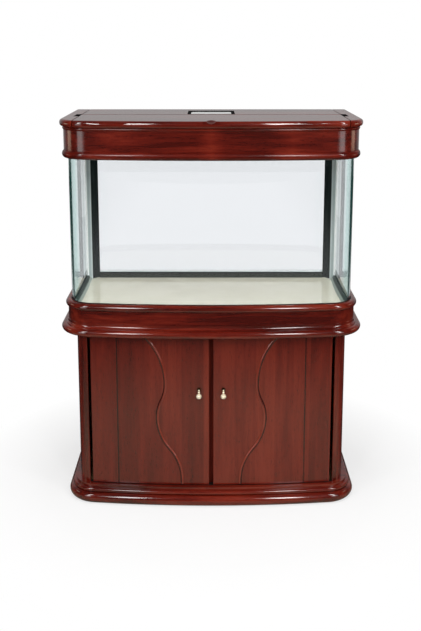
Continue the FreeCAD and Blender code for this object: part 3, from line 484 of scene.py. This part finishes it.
boardSet = {
    "dark": (0.235, 0.128, 0.062),
    "light": (0.43, 0.275, 0.150),
    "gapShadeDark": (0.010, 0.004, 0.003, 1.0),
    "backdropPale": (0.86, 0.87, 0.88, 1.0),
    # painted shade: the floor board's front edge, seen in the gap under the doors, near black
    "floorEdge": ("gapShadeDark", "Y", -0.150, -0.160),
    # painted light: the rail's top edge is pale, standing in for the bright backdrop seen past it
    "railEdge": ("backdropPale", "Z", 0.690, 0.691),
    "ior": 1.45,
    "alongGrain": 2.0,
    "acrossGrain": 22.0,
    "streaks": (3.0, 6.0, 0.6, 0.4),
    "fleckScale": (180, 180, 180),
    "fleck": (4.0, 2.0),
    "mix": (0.75, 0.25),
    "roughness": (0.55, 0.75),
    "relief": (0.25, 0.0006),
}


def plainBoard(name, axis, edge=None):
    material, tree, shader = paintShader(name, IOR=boardSet["ior"])
    grain = grainScale(axis, boardSet["alongGrain"], boardSet["acrossGrain"])
    streaks = noise(tree, stretched(tree, grain), *boardSet["streaks"])
    fleck = noise(tree, stretched(tree, boardSet["fleckScale"]), *boardSet["fleck"])
    mixed = weighted(tree, *zip((streaks, fleck), boardSet["mix"]))
    colour = fade(tree, spread(tree, mixed, *narrowSpan), boardSet["dark"], boardSet["light"])
    if edge:
        tone, edgeAxis, low, high = boardSet[edge]
        share = spread(tree, separated(tree)["XYZ".index(edgeAxis)], low, high)
        colour = blendColours(tree, share, colour, boardSet[tone])
    feed(tree, colour, shader.inputs["Base Color"])
    feed(tree, spread(tree, fleck, *wideSpan, *boardSet["roughness"]), shader.inputs["Roughness"])
    feed(tree, bump(tree, mixed, *boardSet["relief"]), shader.inputs["Normal"])
    return material


# Clear glass with green in its depth; along the bent corners a painted green tint stands in for the green
# that refraction shows there

glassSet = {
    "tint": (0.962, 0.956, 0.972),
    "bendPaintedGreen": (0.72, 0.85, 0.83),
    "bendFrom": (0.430, 0.446),
    "bendTo": (0.452, 0.472),
    "bendStarts": (-0.108, -0.122),
    "lampTint": (0.985, 0.985, 0.975, 1.0),
    "depthColour": (0.20, 0.80, 0.76, 1.0),
    "depthDensity": 3.6,
    "ior": 1.5,
    "streakScale": (1.5, 1.5, 0.6),
    "streak": (2.0, 2.0),
    "roughness": (0.0, 0.004),
}


# painted green along the bends, standing in for the refracted green seen there
def bendPaintedTint(tree):
    across, deep, _ = separated(tree)
    across = sums(tree, "ABSOLUTE", across)
    green = product(
        tree, spread(tree, across, *glassSet["bendFrom"]),
        spread(tree, across, *glassSet["bendTo"], 1.0, 0.0),
        spread(tree, deep, *glassSet["bendStarts"]))
    return fade(tree, green, glassSet["tint"], glassSet["bendPaintedGreen"])


def clearGlass(name, bent=False):
    material, tree, output = emptyMaterial(name)
    shader = addNode(tree, "ShaderNodeBsdfPrincipled")
    shader.inputs["Base Color"].default_value = glassSet["tint"] + (1.0,)
    # the bent pane gets the painted green along its bends
    if bent:
        feed(tree, bendPaintedTint(tree), shader.inputs["Base Color"])
    shader.inputs["Transmission Weight"].default_value = 1.0
    shader.inputs["IOR"].default_value = glassSet["ior"]
    streak = noise(tree, stretched(tree, glassSet["streakScale"]), *glassSet["streak"])
    feed(tree, spread(tree, streak, *wideSpan, *glassSet["roughness"]), shader.inputs["Roughness"])
    through = addNode(tree, "ShaderNodeBsdfTransparent")  # the lamps shine in through the panes
    through.inputs["Color"].default_value = glassSet["lampTint"]
    paths = addNode(tree, "ShaderNodeLightPath")
    mixed = blendShaders(tree, paths.outputs["Is Shadow Ray"], shader.outputs[0], through.outputs[0])
    feed(tree, mixed, output.inputs["Surface"])
    depth = addNode(tree, "ShaderNodeVolumeAbsorption")
    depth.inputs["Color"].default_value = glassSet["depthColour"]
    depth.inputs["Density"].default_value = glassSet["depthDensity"]
    feed(tree, depth.outputs[0], output.inputs["Volume"])
    return material


# Plastics, rubber and metals: each has a slow change of tone and a fine surface

plainSet = {
    "black_plastic": {"dark": (0.004, 0.004, 0.0045), "light": (0.010, 0.010, 0.011), "rough": (0.28, 0.40),
                      "scale": 420, "bump": 0.10, "gloss": 0.35},
    "hatch_black": {"dark": (0.003, 0.003, 0.003), "light": (0.008, 0.008, 0.008), "rough": (0.70, 0.85),
                    "scale": 420, "bump": 0.30, "gloss": 0.02},
    "pale_sheet": {"dark": (0.83, 0.79, 0.64), "light": (0.88, 0.84, 0.70), "rough": (0.08, 0.16),
                   "scale": 14, "bump": 0.02},
    "black_rubber": {"dark": (0.008, 0.008, 0.008), "light": (0.020, 0.020, 0.020), "rough": (0.62, 0.80),
                     "scale": 300, "bump": 0.30, "gloss": 0.2},
    "white_nylon": {"dark": (0.66, 0.65, 0.61), "light": (0.76, 0.75, 0.72), "rough": (0.38, 0.52),
                    "scale": 240, "bump": 0.08},
    "pale_brass": {"dark": (0.90, 0.76, 0.52), "light": (0.98, 0.88, 0.68), "rough": (0.24, 0.34),
                   "scale": 160, "bump": 0.03, "metal": 0.35},
    "aged_brass": {"dark": (0.045, 0.024, 0.010), "light": (0.16, 0.095, 0.040), "rough": (0.30, 0.48),
                   "scale": 220, "bump": 0.06, "metal": 1.0},
    "steel": {"dark": (0.44, 0.44, 0.43), "light": (0.62, 0.62, 0.61), "rough": (0.22, 0.38),
              "scale": 260, "bump": 0.08, "metal": 1.0},
    "reflector": {"dark": (0.66, 0.66, 0.66), "light": (0.80, 0.80, 0.80), "rough": (0.16, 0.30),
                  "scale": 120, "bump": 0.05, "metal": 1.0},
    "lamp_glass": {"dark": (0.80, 0.80, 0.78), "light": (0.88, 0.88, 0.87), "rough": (0.10, 0.20),
                   "scale": 40, "bump": 0.01},
}
plainLook = {
    "ior": 1.48,
    "gloss": 0.5,
    "speckDetail": 3.0,
    "slow": (6.0, 2.0),
    "mix": (0.5, 0.5),
    "depth": 0.0003,
}


def plainFinish(name):
    settings = plainSet[name]
    material, tree, shader = paintShader(
        "finish_" + name, Metallic=settings.get("metal", 0.0), IOR=plainLook["ior"],
        Specular_IOR_Level=settings.get("gloss", plainLook["gloss"]))
    speck = noise(tree, stretched(tree), settings["scale"], plainLook["speckDetail"])
    slow = noise(tree, stretched(tree), *plainLook["slow"])
    mixed = weighted(tree, *zip((speck, slow), plainLook["mix"]))
    tone = spread(tree, mixed, *narrowSpan)
    feed(tree, fade(tree, tone, settings["dark"], settings["light"]), shader.inputs["Base Color"])
    feed(tree, spread(tree, mixed, *middleSpan, *settings["rough"]), shader.inputs["Roughness"])
    feed(tree, bump(tree, speck, settings["bump"], plainLook["depth"]), shader.inputs["Normal"])
    return material


# Hatch flap: pale, with a black strip along its hinge

flapSet = {
    "pale": (0.80, 0.80, 0.79),
    "bright": (0.88, 0.88, 0.87),
    "strip": (0.004, 0.004, 0.004, 1.0),
    "stripFrom": 0.138,
    "stripEdge": 0.001,
    "ior": 1.48,
    "speck": (60.0, 3.0),
    "roughness": (0.10, 0.70),
    "gloss": (0.5, 0.02),
}


def hatchFlap(name):
    material, tree, shader = paintShader(name, IOR=flapSet["ior"])
    speck = noise(tree, stretched(tree), *flapSet["speck"])
    pale = fade(tree, spread(tree, speck, *middleSpan), flapSet["pale"], flapSet["bright"])
    start = flapSet["stripFrom"]
    rear = spread(tree, separated(tree)[1], start, start + flapSet["stripEdge"])
    feed(tree, blendColours(tree, rear, pale, flapSet["strip"]), shader.inputs["Base Color"])
    feed(tree, spread(tree, rear, 0.0, 1.0, *flapSet["roughness"]), shader.inputs["Roughness"])
    feed(tree, spread(tree, rear, 0.0, 1.0, *flapSet["gloss"]), shader.inputs["Specular IOR Level"])
    return material


# Corner strips of the tank: black, with bands of grey, pale and near-white against the side pane that are a
# painted reflection of the side pane's glass

cornerSet = {
    "black": (0.006, 0.007, 0.0075),
    "sheen": (0.020, 0.024, 0.025),
    "mirroredGrey": (0.40, 0.46, 0.47),
    "pale": (0.64, 0.70, 0.71),
    "clear": (0.92, 0.95, 0.95),
    "bands": ((0.0, "pale"), (0.3, "mirroredGrey"), (0.66, "mirroredGrey"), (0.80, "clear")),
    "blackTo": 0.4455,
    "greyTo": 0.4657,
    "edge": 0.001,
    "ior": 1.45,
    "gloss": 0.06,
    "speckScale": (60, 60, 1.5),
    "speck": (6.0, 2.0),
    "roughness": (0.35, 0.5),
}


def cornerStrip(name):
    material, tree, shader = paintShader(name, IOR=cornerSet["ior"], Specular_IOR_Level=cornerSet["gloss"])
    blackTo = cornerSet["blackTo"]
    out = sums(tree, "ABSOLUTE", separated(tree)[0])
    speck = noise(tree, stretched(tree, cornerSet["speckScale"]), *cornerSet["speck"])
    black = fade(tree, spread(tree, speck, *middleSpan), cornerSet["black"], cornerSet["sheen"])
    # the grey, pale and near-white bands are a painted reflection of the side pane
    outer = spread(tree, out, blackTo, cornerSet["greyTo"])
    mirroredGrey = bands(tree, outer, cornerSet, "bands")
    step = spread(tree, out, blackTo - cornerSet["edge"], blackTo)
    feed(tree, blendColours(tree, step, black, mirroredGrey), shader.inputs["Base Color"])
    feed(tree, spread(tree, speck, *wideSpan, *cornerSet["roughness"]), shader.inputs["Roughness"])
    return material


# Strips along the panes' feet, in bands of tone from the bottom up

stripSet = {
    "low": 0.690,
    "high": 0.712,
    "black": (0.006, 0.007, 0.007),
    "dull": (0.085, 0.098, 0.095),
    "olive": (0.022, 0.026, 0.020),
    "misty": (0.40, 0.45, 0.41),
    "rear_strip": ((0.0, "olive"), (0.62, "olive"), (0.75, "black")),
    "side_strip": ((0.0, "misty"), (0.36, "misty"), (0.48, "dull")),
    "ior": 1.45,
    "gloss": 0.06,
    "speckScale": (14, 14, 60),
    "speck": (3.0, 2.0),
    "waver": 0.08,
    "roughness": (0.35, 0.5),
}


def footFinish(name):
    material, tree, shader = paintShader(name, IOR=stripSet["ior"], Specular_IOR_Level=stripSet["gloss"])
    speck = noise(tree, stretched(tree, stripSet["speckScale"]), *stripSet["speck"])
    level = spread(tree, separated(tree)[2], stripSet["low"], stripSet["high"])
    level = weighted(tree, (level, 1.0), (sums(tree, "SUBTRACT", speck, noiseMiddle), stripSet["waver"]))
    colour = bands(tree, level, stripSet, name)
    feed(tree, colour, shader.inputs["Base Color"])
    feed(tree, spread(tree, speck, *wideSpan, *stripSet["roughness"]), shader.inputs["Roughness"])
    return material


# Which piece gets which finish

woodSet = {
    "mahogany_moulding": ({"axes": "XY"}, ("plinth_frame", "tank_base_frame")),
    "mahogany_hood": ({"axes": "XY", "hood": True}, ("hood_frame",)),
    "mahogany_lid": ({"axes": "X", "shift": (0.3, 0.1, 0), "notch": True}, ("front_lid", "rear_cover")),
    "mahogany_end_board": ({"axes": "Y", "shift": (0.7, 0, 0.2)}, ("left_end_board", "right_end_board")),
    "mahogany_left_door": ({"axes": "Z", "shift": (0.15, 0.4, 0), "leaves": True}, ("left_door",)),
    "mahogany_right_door": ({"axes": "Z", "shift": (0.85, 0.2, 0.3), "leaves": True}, ("right_door",)),
    "mahogany_bead": ({"axes": "Z", "shift": (0.15, 0.4, 0), "bead": True},
                      ("left_door_bead", "right_door_bead")),
    "mahogany_side": ({"axes": "Z", "shift": (0.5, 0.9, 0.6)},
                      ("left_corner_post", "right_corner_post", "left_side_panel", "right_side_panel")),
}

finishes = {name: plainFinish(name) for name in plainSet}
for row in frame["record"]["subparts"]:
    if row["material_slot"] in finishes:
        dress(finishes[row["material_slot"]], row["node"])
dress(finishes["hatch_black"], "hatch_frame", "left_slot_liner", "right_slot_liner")
dress(footFinish("rear_strip"), "back_bottom_trim")
# corner strips with a painted reflection along their outer edge
dress(cornerStrip("corner_strip"), "left_corner_trim", "right_corner_trim")
dress(hatchFlap("hatch_flap_pale"), "hatch_flap")
for woodName, (options, woodNodes) in woodSet.items():
    dress(mahogany(woodName, **options), *woodNodes)
dress(stainedWood("stained_post"), "centre_post")
dress(plainBoard("board_across", "X"), "plinth_back_rail", "cabinet_top", "tank_deck", "hood_back_rail",
      "hood_rest_batten")
# its front edge gets painted shade
dress(plainBoard("board_floor", "X", "floorEdge"), "cabinet_floor")
# its top edge is painted pale for the bright backdrop seen past it
dress(plainBoard("board_rail", "X", "railEdge"), "base_back_rail")
dress(plainBoard("board_upright", "Z"), "back_panel")
dress(plainBoard("board_front_to_back", "Y"), "floor_battens", "deck_bearers", "cover_cleats")
dress(clearGlass("clear_pane"), "back_glass", "bottom_glass")
paneGlass = clearGlass("bent_pane_glass", True)
dress(paneGlass, "bent_front_glass")
print("materials ready:", len(bpy.data.materials))

# Modelling helpers


def pickVertices(piece, test):
    # edit mode, with only the vertices that pass the test selected
    bpy.ops.object.mode_set(mode="OBJECT")
    for group in (piece.data.vertices, piece.data.edges, piece.data.polygons):
        for item in group:
            item.select = False
    for vertex in piece.data.vertices:
        vertex.select = test(vertex.co)
    bpy.ops.object.mode_set(mode="EDIT")
    bpy.ops.mesh.select_mode(type="VERT")


def pickAll():
    bpy.ops.object.mode_set(mode="EDIT")
    bpy.ops.mesh.select_all(action="SELECT")


def applyModifier(piece, kind, **settings):
    modifier = piece.modifiers.new(kind.lower(), kind)
    for name, value in settings.items():
        setattr(modifier, name, value)
    bpy.ops.object.modifier_apply(modifier=modifier.name)


def breakEdges(piece, settings):
    # small bevels on the sharp edges
    applyModifier(piece, "BEVEL", width=settings["arris"], segments=settings["arrisSteps"],
                  limit_method="ANGLE", angle_limit=settings["sharpFrom"])


# Bent front pane: a straight side, a spun corner and a spun bow, mirrored and given its thickness

paneSet = {
    "half": 0.474,
    "front": 0.213,
    "rear": 0.235,
    "bow": 3.5,
    "corner": 0.080,
    "low": 0.677,
    "high": 1.220,
    "thick": 0.008,
    "cornerSteps": 48,
    "bowSteps": 40,
    "seam": 0.0005,
    "weld": 0.0001,
    "arris": 0.0006,
    "arrisSteps": 2,
    "sharpFrom": 0.9,
    "smoothTo": 10,
}


def bendPane():
    half, corner, bow = paneSet["half"], paneSet["corner"], paneSet["bow"]
    cornerX, bowY = half - corner, bow - paneSet["front"]
    cornerY = bowY - math.sqrt((bow - corner) ** 2 - cornerX ** 2)
    lean = math.atan2(cornerX, bowY - cornerY)
    deep, tall = paneSet["rear"] - cornerY, paneSet["high"] - paneSet["low"]
    bpy.ops.object.select_all(action="DESELECT")
    bpy.ops.mesh.primitive_plane_add(size=1)
    pane = bpy.context.object
    pane.name = "bent_pane"
    pickAll()
    bpy.ops.transform.rotate(value=math.radians(90), orient_axis="Y", center_override=(0, 0, 0))
    bpy.ops.transform.resize(value=(1, deep, tall), center_override=(0, 0, 0))
    bpy.ops.transform.translate(value=(-half, cornerY + deep / 2, paneSet["low"] + tall / 2))
    pickVertices(pane, lambda place: place.y < cornerY + paneSet["thick"])
    bpy.ops.mesh.spin(steps=paneSet["cornerSteps"], angle=lean - math.pi / 2, center=(-cornerX, cornerY, 0),
                      axis=(0, 0, 1))
    bpy.ops.mesh.spin(steps=paneSet["bowSteps"], angle=-lean, center=(0, bowY, 0), axis=(0, 0, 1))
    bpy.ops.object.mode_set(mode="OBJECT")
    applyModifier(pane, "MIRROR", use_clip=True, merge_threshold=paneSet["seam"])
    pickAll()
    bpy.ops.mesh.remove_doubles(threshold=paneSet["weld"])
    bpy.ops.mesh.normals_make_consistent(inside=False)
    bpy.ops.object.mode_set(mode="OBJECT")
    foremost = min(pane.data.polygons, key=lambda face: face.center.y)
    if foremost.normal.y > 0:
        bpy.ops.object.mode_set(mode="EDIT")
        bpy.ops.mesh.flip_normals()
        bpy.ops.object.mode_set(mode="OBJECT")
    applyModifier(pane, "SOLIDIFY", thickness=paneSet["thick"], offset=-1.0, use_even_offset=True)
    breakEdges(pane, paneSet)
    bpy.ops.object.shade_smooth_by_angle(angle=math.radians(paneSet["smoothTo"]))
    pane.data.materials.append(paneGlass)
    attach(pane, fixedBody)
    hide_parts("bent_front_glass")
    print("bent pane", len(pane.data.polygons), "faces")


bendPane()

# Metal end caps of the lamp tubes: one cap, copied to the other tube, then both mirrored to the other end

capSet = {
    "radius": 0.0084,
    "long": 0.016,
    "rim": 0.0020,
    "rimWidth": 0.965,
    "tubeEnd": 0.4125,
    "tubesY": (-0.115, -0.079),
    "height": 1.281,
    "sides": 40,
    "arris": 0.0004,
    "arrisSteps": 2,
    "sharpFrom": 0.5,
    "smoothTo": 40,
}


def capTubes():
    firstY, otherY = capSet["tubesY"]
    height, rimWidth = capSet["height"], capSet["rimWidth"]
    middle = capSet["long"] / 2 - capSet["tubeEnd"]
    bpy.ops.object.select_all(action="DESELECT")
    bpy.ops.mesh.primitive_cylinder_add(
        vertices=capSet["sides"], radius=capSet["radius"], depth=capSet["long"],
        location=(middle, firstY, height), rotation=(0, math.pi / 2, 0))
    joined = bpy.context.object
    joined.name = "lamp_end_caps"
    bpy.ops.object.transform_apply(location=True, rotation=True, scale=True)
    pickVertices(joined, lambda place: place.x > middle)
    bpy.ops.mesh.extrude_region_move()
    bpy.ops.transform.translate(value=(capSet["rim"], 0, 0))
    bpy.ops.transform.resize(value=(1, rimWidth, rimWidth), center_override=(0, firstY, height))
    bpy.ops.object.mode_set(mode="OBJECT")
    breakEdges(joined, capSet)
    pickAll()
    bpy.ops.mesh.duplicate()
    bpy.ops.transform.translate(value=(0, otherY - firstY, 0))
    bpy.ops.object.mode_set(mode="OBJECT")
    applyModifier(joined, "MIRROR", use_mirror_merge=False)
    pickAll()
    bpy.ops.mesh.normals_make_consistent(inside=False)
    bpy.ops.object.mode_set(mode="OBJECT")
    bpy.ops.object.shade_smooth_by_angle(angle=math.radians(capSet["smoothTo"]))
    joined.data.materials.append(finishes["reflector"])
    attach(joined, fixedBody)
    print("lamp caps", len(joined.data.polygons), "faces")


capTubes()

# Three-sided strips along the feet of the side panes, one made and mirrored to the other side

footSet = {
    "wall": 0.4655,
    "deep": 0.019,
    "lip": 0.004,
    "low": 0.6902,
    "tall": 0.017,
    "front": (-0.117, -0.155),
    "rear": (0.1815, 0.1995),
    "arris": 0.0006,
    "arrisSteps": 2,
    "sharpFrom": 0.4,
}


def layFootStrips():
    wall, deep, low, tall = footSet["wall"], footSet["deep"], footSet["low"], footSet["tall"]
    (frontOut, frontIn), (rearOut, rearIn) = footSet["front"], footSet["rear"]
    middle = (rearOut + frontOut) / 2
    bpy.ops.object.select_all(action="DESELECT")
    bpy.ops.mesh.primitive_cube_add(size=1)
    strip = bpy.context.object
    strip.name = "left_foot_strip"
    pickAll()
    bpy.ops.transform.resize(value=(deep, rearOut - frontOut, tall), center_override=(0, 0, 0))
    bpy.ops.transform.translate(value=(deep / 2 - wall, middle, low + tall / 2))
    pickVertices(strip, lambda place: place.x > deep / 2 - wall and place.y < middle)
    bpy.ops.transform.translate(value=(0, frontIn - frontOut, 0))  # slanted where the pane bends
    pickVertices(strip, lambda place: place.x > deep / 2 - wall and place.y > middle)
    bpy.ops.transform.translate(value=(0, rearIn - rearOut, 0))  # meets the corner strip
    pickVertices(strip, lambda place: place.x > deep / 2 - wall and place.z > low + tall / 2)
    bpy.ops.transform.translate(value=(footSet["lip"] - deep, 0, 0))
    bpy.ops.object.mode_set(mode="OBJECT")
    breakEdges(strip, footSet)
    strip.data.materials.append(footFinish("side_strip"))
    bpy.ops.object.duplicate()
    other = bpy.context.object
    other.name = "right_foot_strip"
    pickAll()
    bpy.ops.transform.mirror(constraint_axis=(True, False, False), center_override=(0, 0, 0))
    bpy.ops.mesh.normals_make_consistent(inside=False)
    bpy.ops.object.mode_set(mode="OBJECT")
    for piece in (strip, other):
        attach(piece, fixedBody)
    print("foot strips", len(strip.data.polygons), "faces each")


layFootStrips()

# Studio: pale paper on a dark floor, white behind, soft lamps

studioSet = {
    "floorSize": 14.0,
    "white": (1.0, 1.0, 1.0),
    "paper": (0.84, 0.84, 0.84),
    "paperEdge": (1.0, 2.0),
    "beyondPaper": (0.03, 0.03, 0.03),
    "mirroredPaper": (0.31, 0.31, 0.23),
    "mirroredFront": (0.05, -0.25),
    "glowShare": 0.62,
    "glowEdge": (0.58, 0.95),
    "besideGlass": (0.012, 0.055, 0.047),
    "throughGlass": (1.4, 2.2),
    "whiteBehind": (0.91, 0.965),
    "worldFill": 0.32,
    "roomDark": (0.012, 0.016, 0.016),
    "rearGloss": (0.42, 0.42, 0.42),
    "rearSpan": (0.2, 0.8),
}


def straightThrough(tree, paths):
    # 1 for a ray that went through the glass without a turn inside it
    return sums(tree, "LESS_THAN", paths.outputs["Glossy Depth"], oneBounce)


def lookedThrough(tree, paths):
    # 1 for what is seen through glass, 0 for light that a surface gathers through it
    direct = sums(tree, "LESS_THAN", paths.outputs["Diffuse Depth"], oneBounce)
    return product(tree, paths.outputs["Is Transmission Ray"], direct)


def without(tree, share):
    return sums(tree, "SUBTRACT", 1.0, share)


def addFloor():
    bpy.ops.object.select_all(action="DESELECT")
    bpy.ops.mesh.primitive_plane_add(size=studioSet["floorSize"], location=(0, 0, 0))
    floor = bpy.context.object
    floor.name = "studio_floor"
    material, tree, output = emptyMaterial("studio_floor_paper")
    paths = addNode(tree, "ShaderNodeLightPath")
    coords = addNode(tree, "ShaderNodeTexCoord")
    measure = addNode(tree, "ShaderNodeVectorMath", operation="LENGTH")
    feed(tree, coords.outputs["Object"], measure.inputs[0])
    away = measure.outputs["Value"]
    across, deep, _ = separated(tree)
    # paper, which shows darker in the lacquer than to the eye
    edge = spread(tree, away, *studioSet["paperEdge"])
    lit = fade(tree, edge, studioSet["paper"], studioSet["beyondPaper"])
    shown = product(tree, spread(tree, deep, *studioSet["mirroredFront"]), without(tree, edge))
    mirrored = fade(tree, shown, studioSet["beyondPaper"], studioSet["mirroredPaper"])
    paper = addNode(tree, "ShaderNodeBsdfDiffuse")
    feed(tree, blendColours(tree, paths.outputs["Is Glossy Ray"], lit, mirrored), paper.inputs["Color"])
    # white away from the object, with the shadow kept near it
    glow = addNode(tree, "ShaderNodeEmission")
    glow.inputs["Strength"].default_value = 1.0
    share = spread(tree, away, *studioSet["glowEdge"], studioSet["glowShare"], 1.0)
    both = blendShaders(tree, share, paper.outputs[0], glow.outputs[0])
    seen = blendShaders(tree, paths.outputs["Is Camera Ray"], paper.outputs[0], both)
    # white through the glass, dark green in its edges
    aside = spread(tree, sums(tree, "ABSOLUTE", across), *studioSet["throughGlass"])
    aside = product(tree, aside, without(tree, straightThrough(tree, paths)))
    behind = addNode(tree, "ShaderNodeEmission")
    feed(tree, fade(tree, aside, studioSet["white"], studioSet["besideGlass"]), behind.inputs["Color"])
    whole = blendShaders(tree, lookedThrough(tree, paths), seen, behind.outputs[0])
    feed(tree, whole, output.inputs["Surface"])
    floor.data.materials.append(material)


def skyFor(tree, level, first, second):
    sky = addNode(tree, "ShaderNodeBackground")
    feed(tree, fade(tree, level, first, second), sky.inputs["Color"])
    return sky.outputs[0]


def plainSky(tree, strength):
    sky = addNode(tree, "ShaderNodeBackground")
    sky.inputs["Color"].default_value = studioSet["white"] + (1.0,)
    sky.inputs["Strength"].default_value = strength
    return sky.outputs[0]


def addWorld():
    # white behind the object, a dark room to the front and the sides
    world = bpy.data.worlds.new("studio_world")
    bpy.context.scene.world = world
    world.use_nodes = True
    tree = world.node_tree
    tree.nodes.clear()
    output = addNode(tree, "ShaderNodeOutputWorld")
    paths = addNode(tree, "ShaderNodeLightPath")
    rear = separated(tree, "Generated")[1]
    room = spread(tree, rear, *studioSet["rearSpan"])
    clear = sums(tree, "MAXIMUM", spread(tree, rear, *studioSet["whiteBehind"]), straightThrough(tree, paths))
    mirrored = skyFor(tree, room, studioSet["roomDark"], studioSet["rearGloss"])
    through = skyFor(tree, clear, studioSet["besideGlass"], studioSet["white"])
    sky = plainSky(tree, studioSet["worldFill"])
    for ray, choice in ((paths.outputs["Is Glossy Ray"], mirrored), (lookedThrough(tree, paths), through),
                        (paths.outputs["Is Camera Ray"], plainSky(tree, 1.0))):
        sky = blendShaders(tree, ray, sky, choice)
    feed(tree, sky, output.inputs["Surface"])


# Lamps: one that isn't mirrored lights the object without a reflection in the lacquer

sideTint = (1.0, 0.78, 0.58)
lampSet = {
    "overhead": {"place": (0, -1.3, 3.6), "aim": (0, -0.1, 0.6), "size": (3.2, 2.6), "watts": 50,
                 "mirrored": False},
    "key_left": {"place": (-2.1, -2.0, 2.4), "aim": (0, -0.1, 0.7), "size": (0.40, 1.8), "watts": 24},
    "key_right": {"place": (2.1, -2.0, 2.4), "aim": (0, -0.1, 0.7), "size": (0.40, 1.8), "watts": 29},
    "low_left": {"place": (-2.1, -2.05, 0.95), "aim": (0, 0, 0.9), "size": (1.0, 0.9), "watts": 5.5},
    "low_right": {"place": (2.1, -2.05, 0.95), "aim": (0, 0, 0.9), "size": (1.0, 0.9), "watts": 5.5},
    "front_left": {"place": (-1.12, -3.1, 2.5), "aim": (0, 0, 0.8), "size": (0.40, 1.4), "watts": 22},
    "front_right": {"place": (1.0, -3.1, 2.5), "aim": (0, 0, 0.8), "size": (0.38, 1.4), "watts": 28},
    "rear_fill": {"place": (0, 2.6, 0.42), "aim": (0, 0.25, 0.42), "size": (2.4, 0.5), "watts": 12,
                  "mirrored": False},
    "side_left": {"place": (-2.3, 0.05, 1.17), "aim": (0, -0.15, 1.10), "size": (0.65, 0.38), "watts": 1.5,
                  "tint": sideTint},
    "side_right": {"place": (2.3, 0.05, 1.17), "aim": (0, -0.15, 1.10), "size": (0.65, 0.38), "watts": 1.5,
                   "tint": sideTint},
}


def addLamp(name, settings):
    place = Vector(settings["place"])
    aim = Vector(settings["aim"]) - place
    bpy.ops.object.light_add(type="AREA", location=place)
    lamp = bpy.context.object
    lamp.name = name
    lamp.rotation_euler = aim.to_track_quat("-Z", "Y").to_euler()
    lamp.data.shape = "RECTANGLE"
    lamp.data.size, lamp.data.size_y = settings["size"]
    lamp.data.energy = settings["watts"]
    lamp.data.color = settings.get("tint", studioSet["white"])
    lamp.visible_camera = False
    lamp.visible_glossy = settings.get("mirrored", True)
    lamp.visible_transmission = False


addFloor()
addWorld()
for lampName, settings in lampSet.items():
    addLamp(lampName, settings)
bpy.context.scene.view_settings.view_transform = "Standard"
print("studio ready")
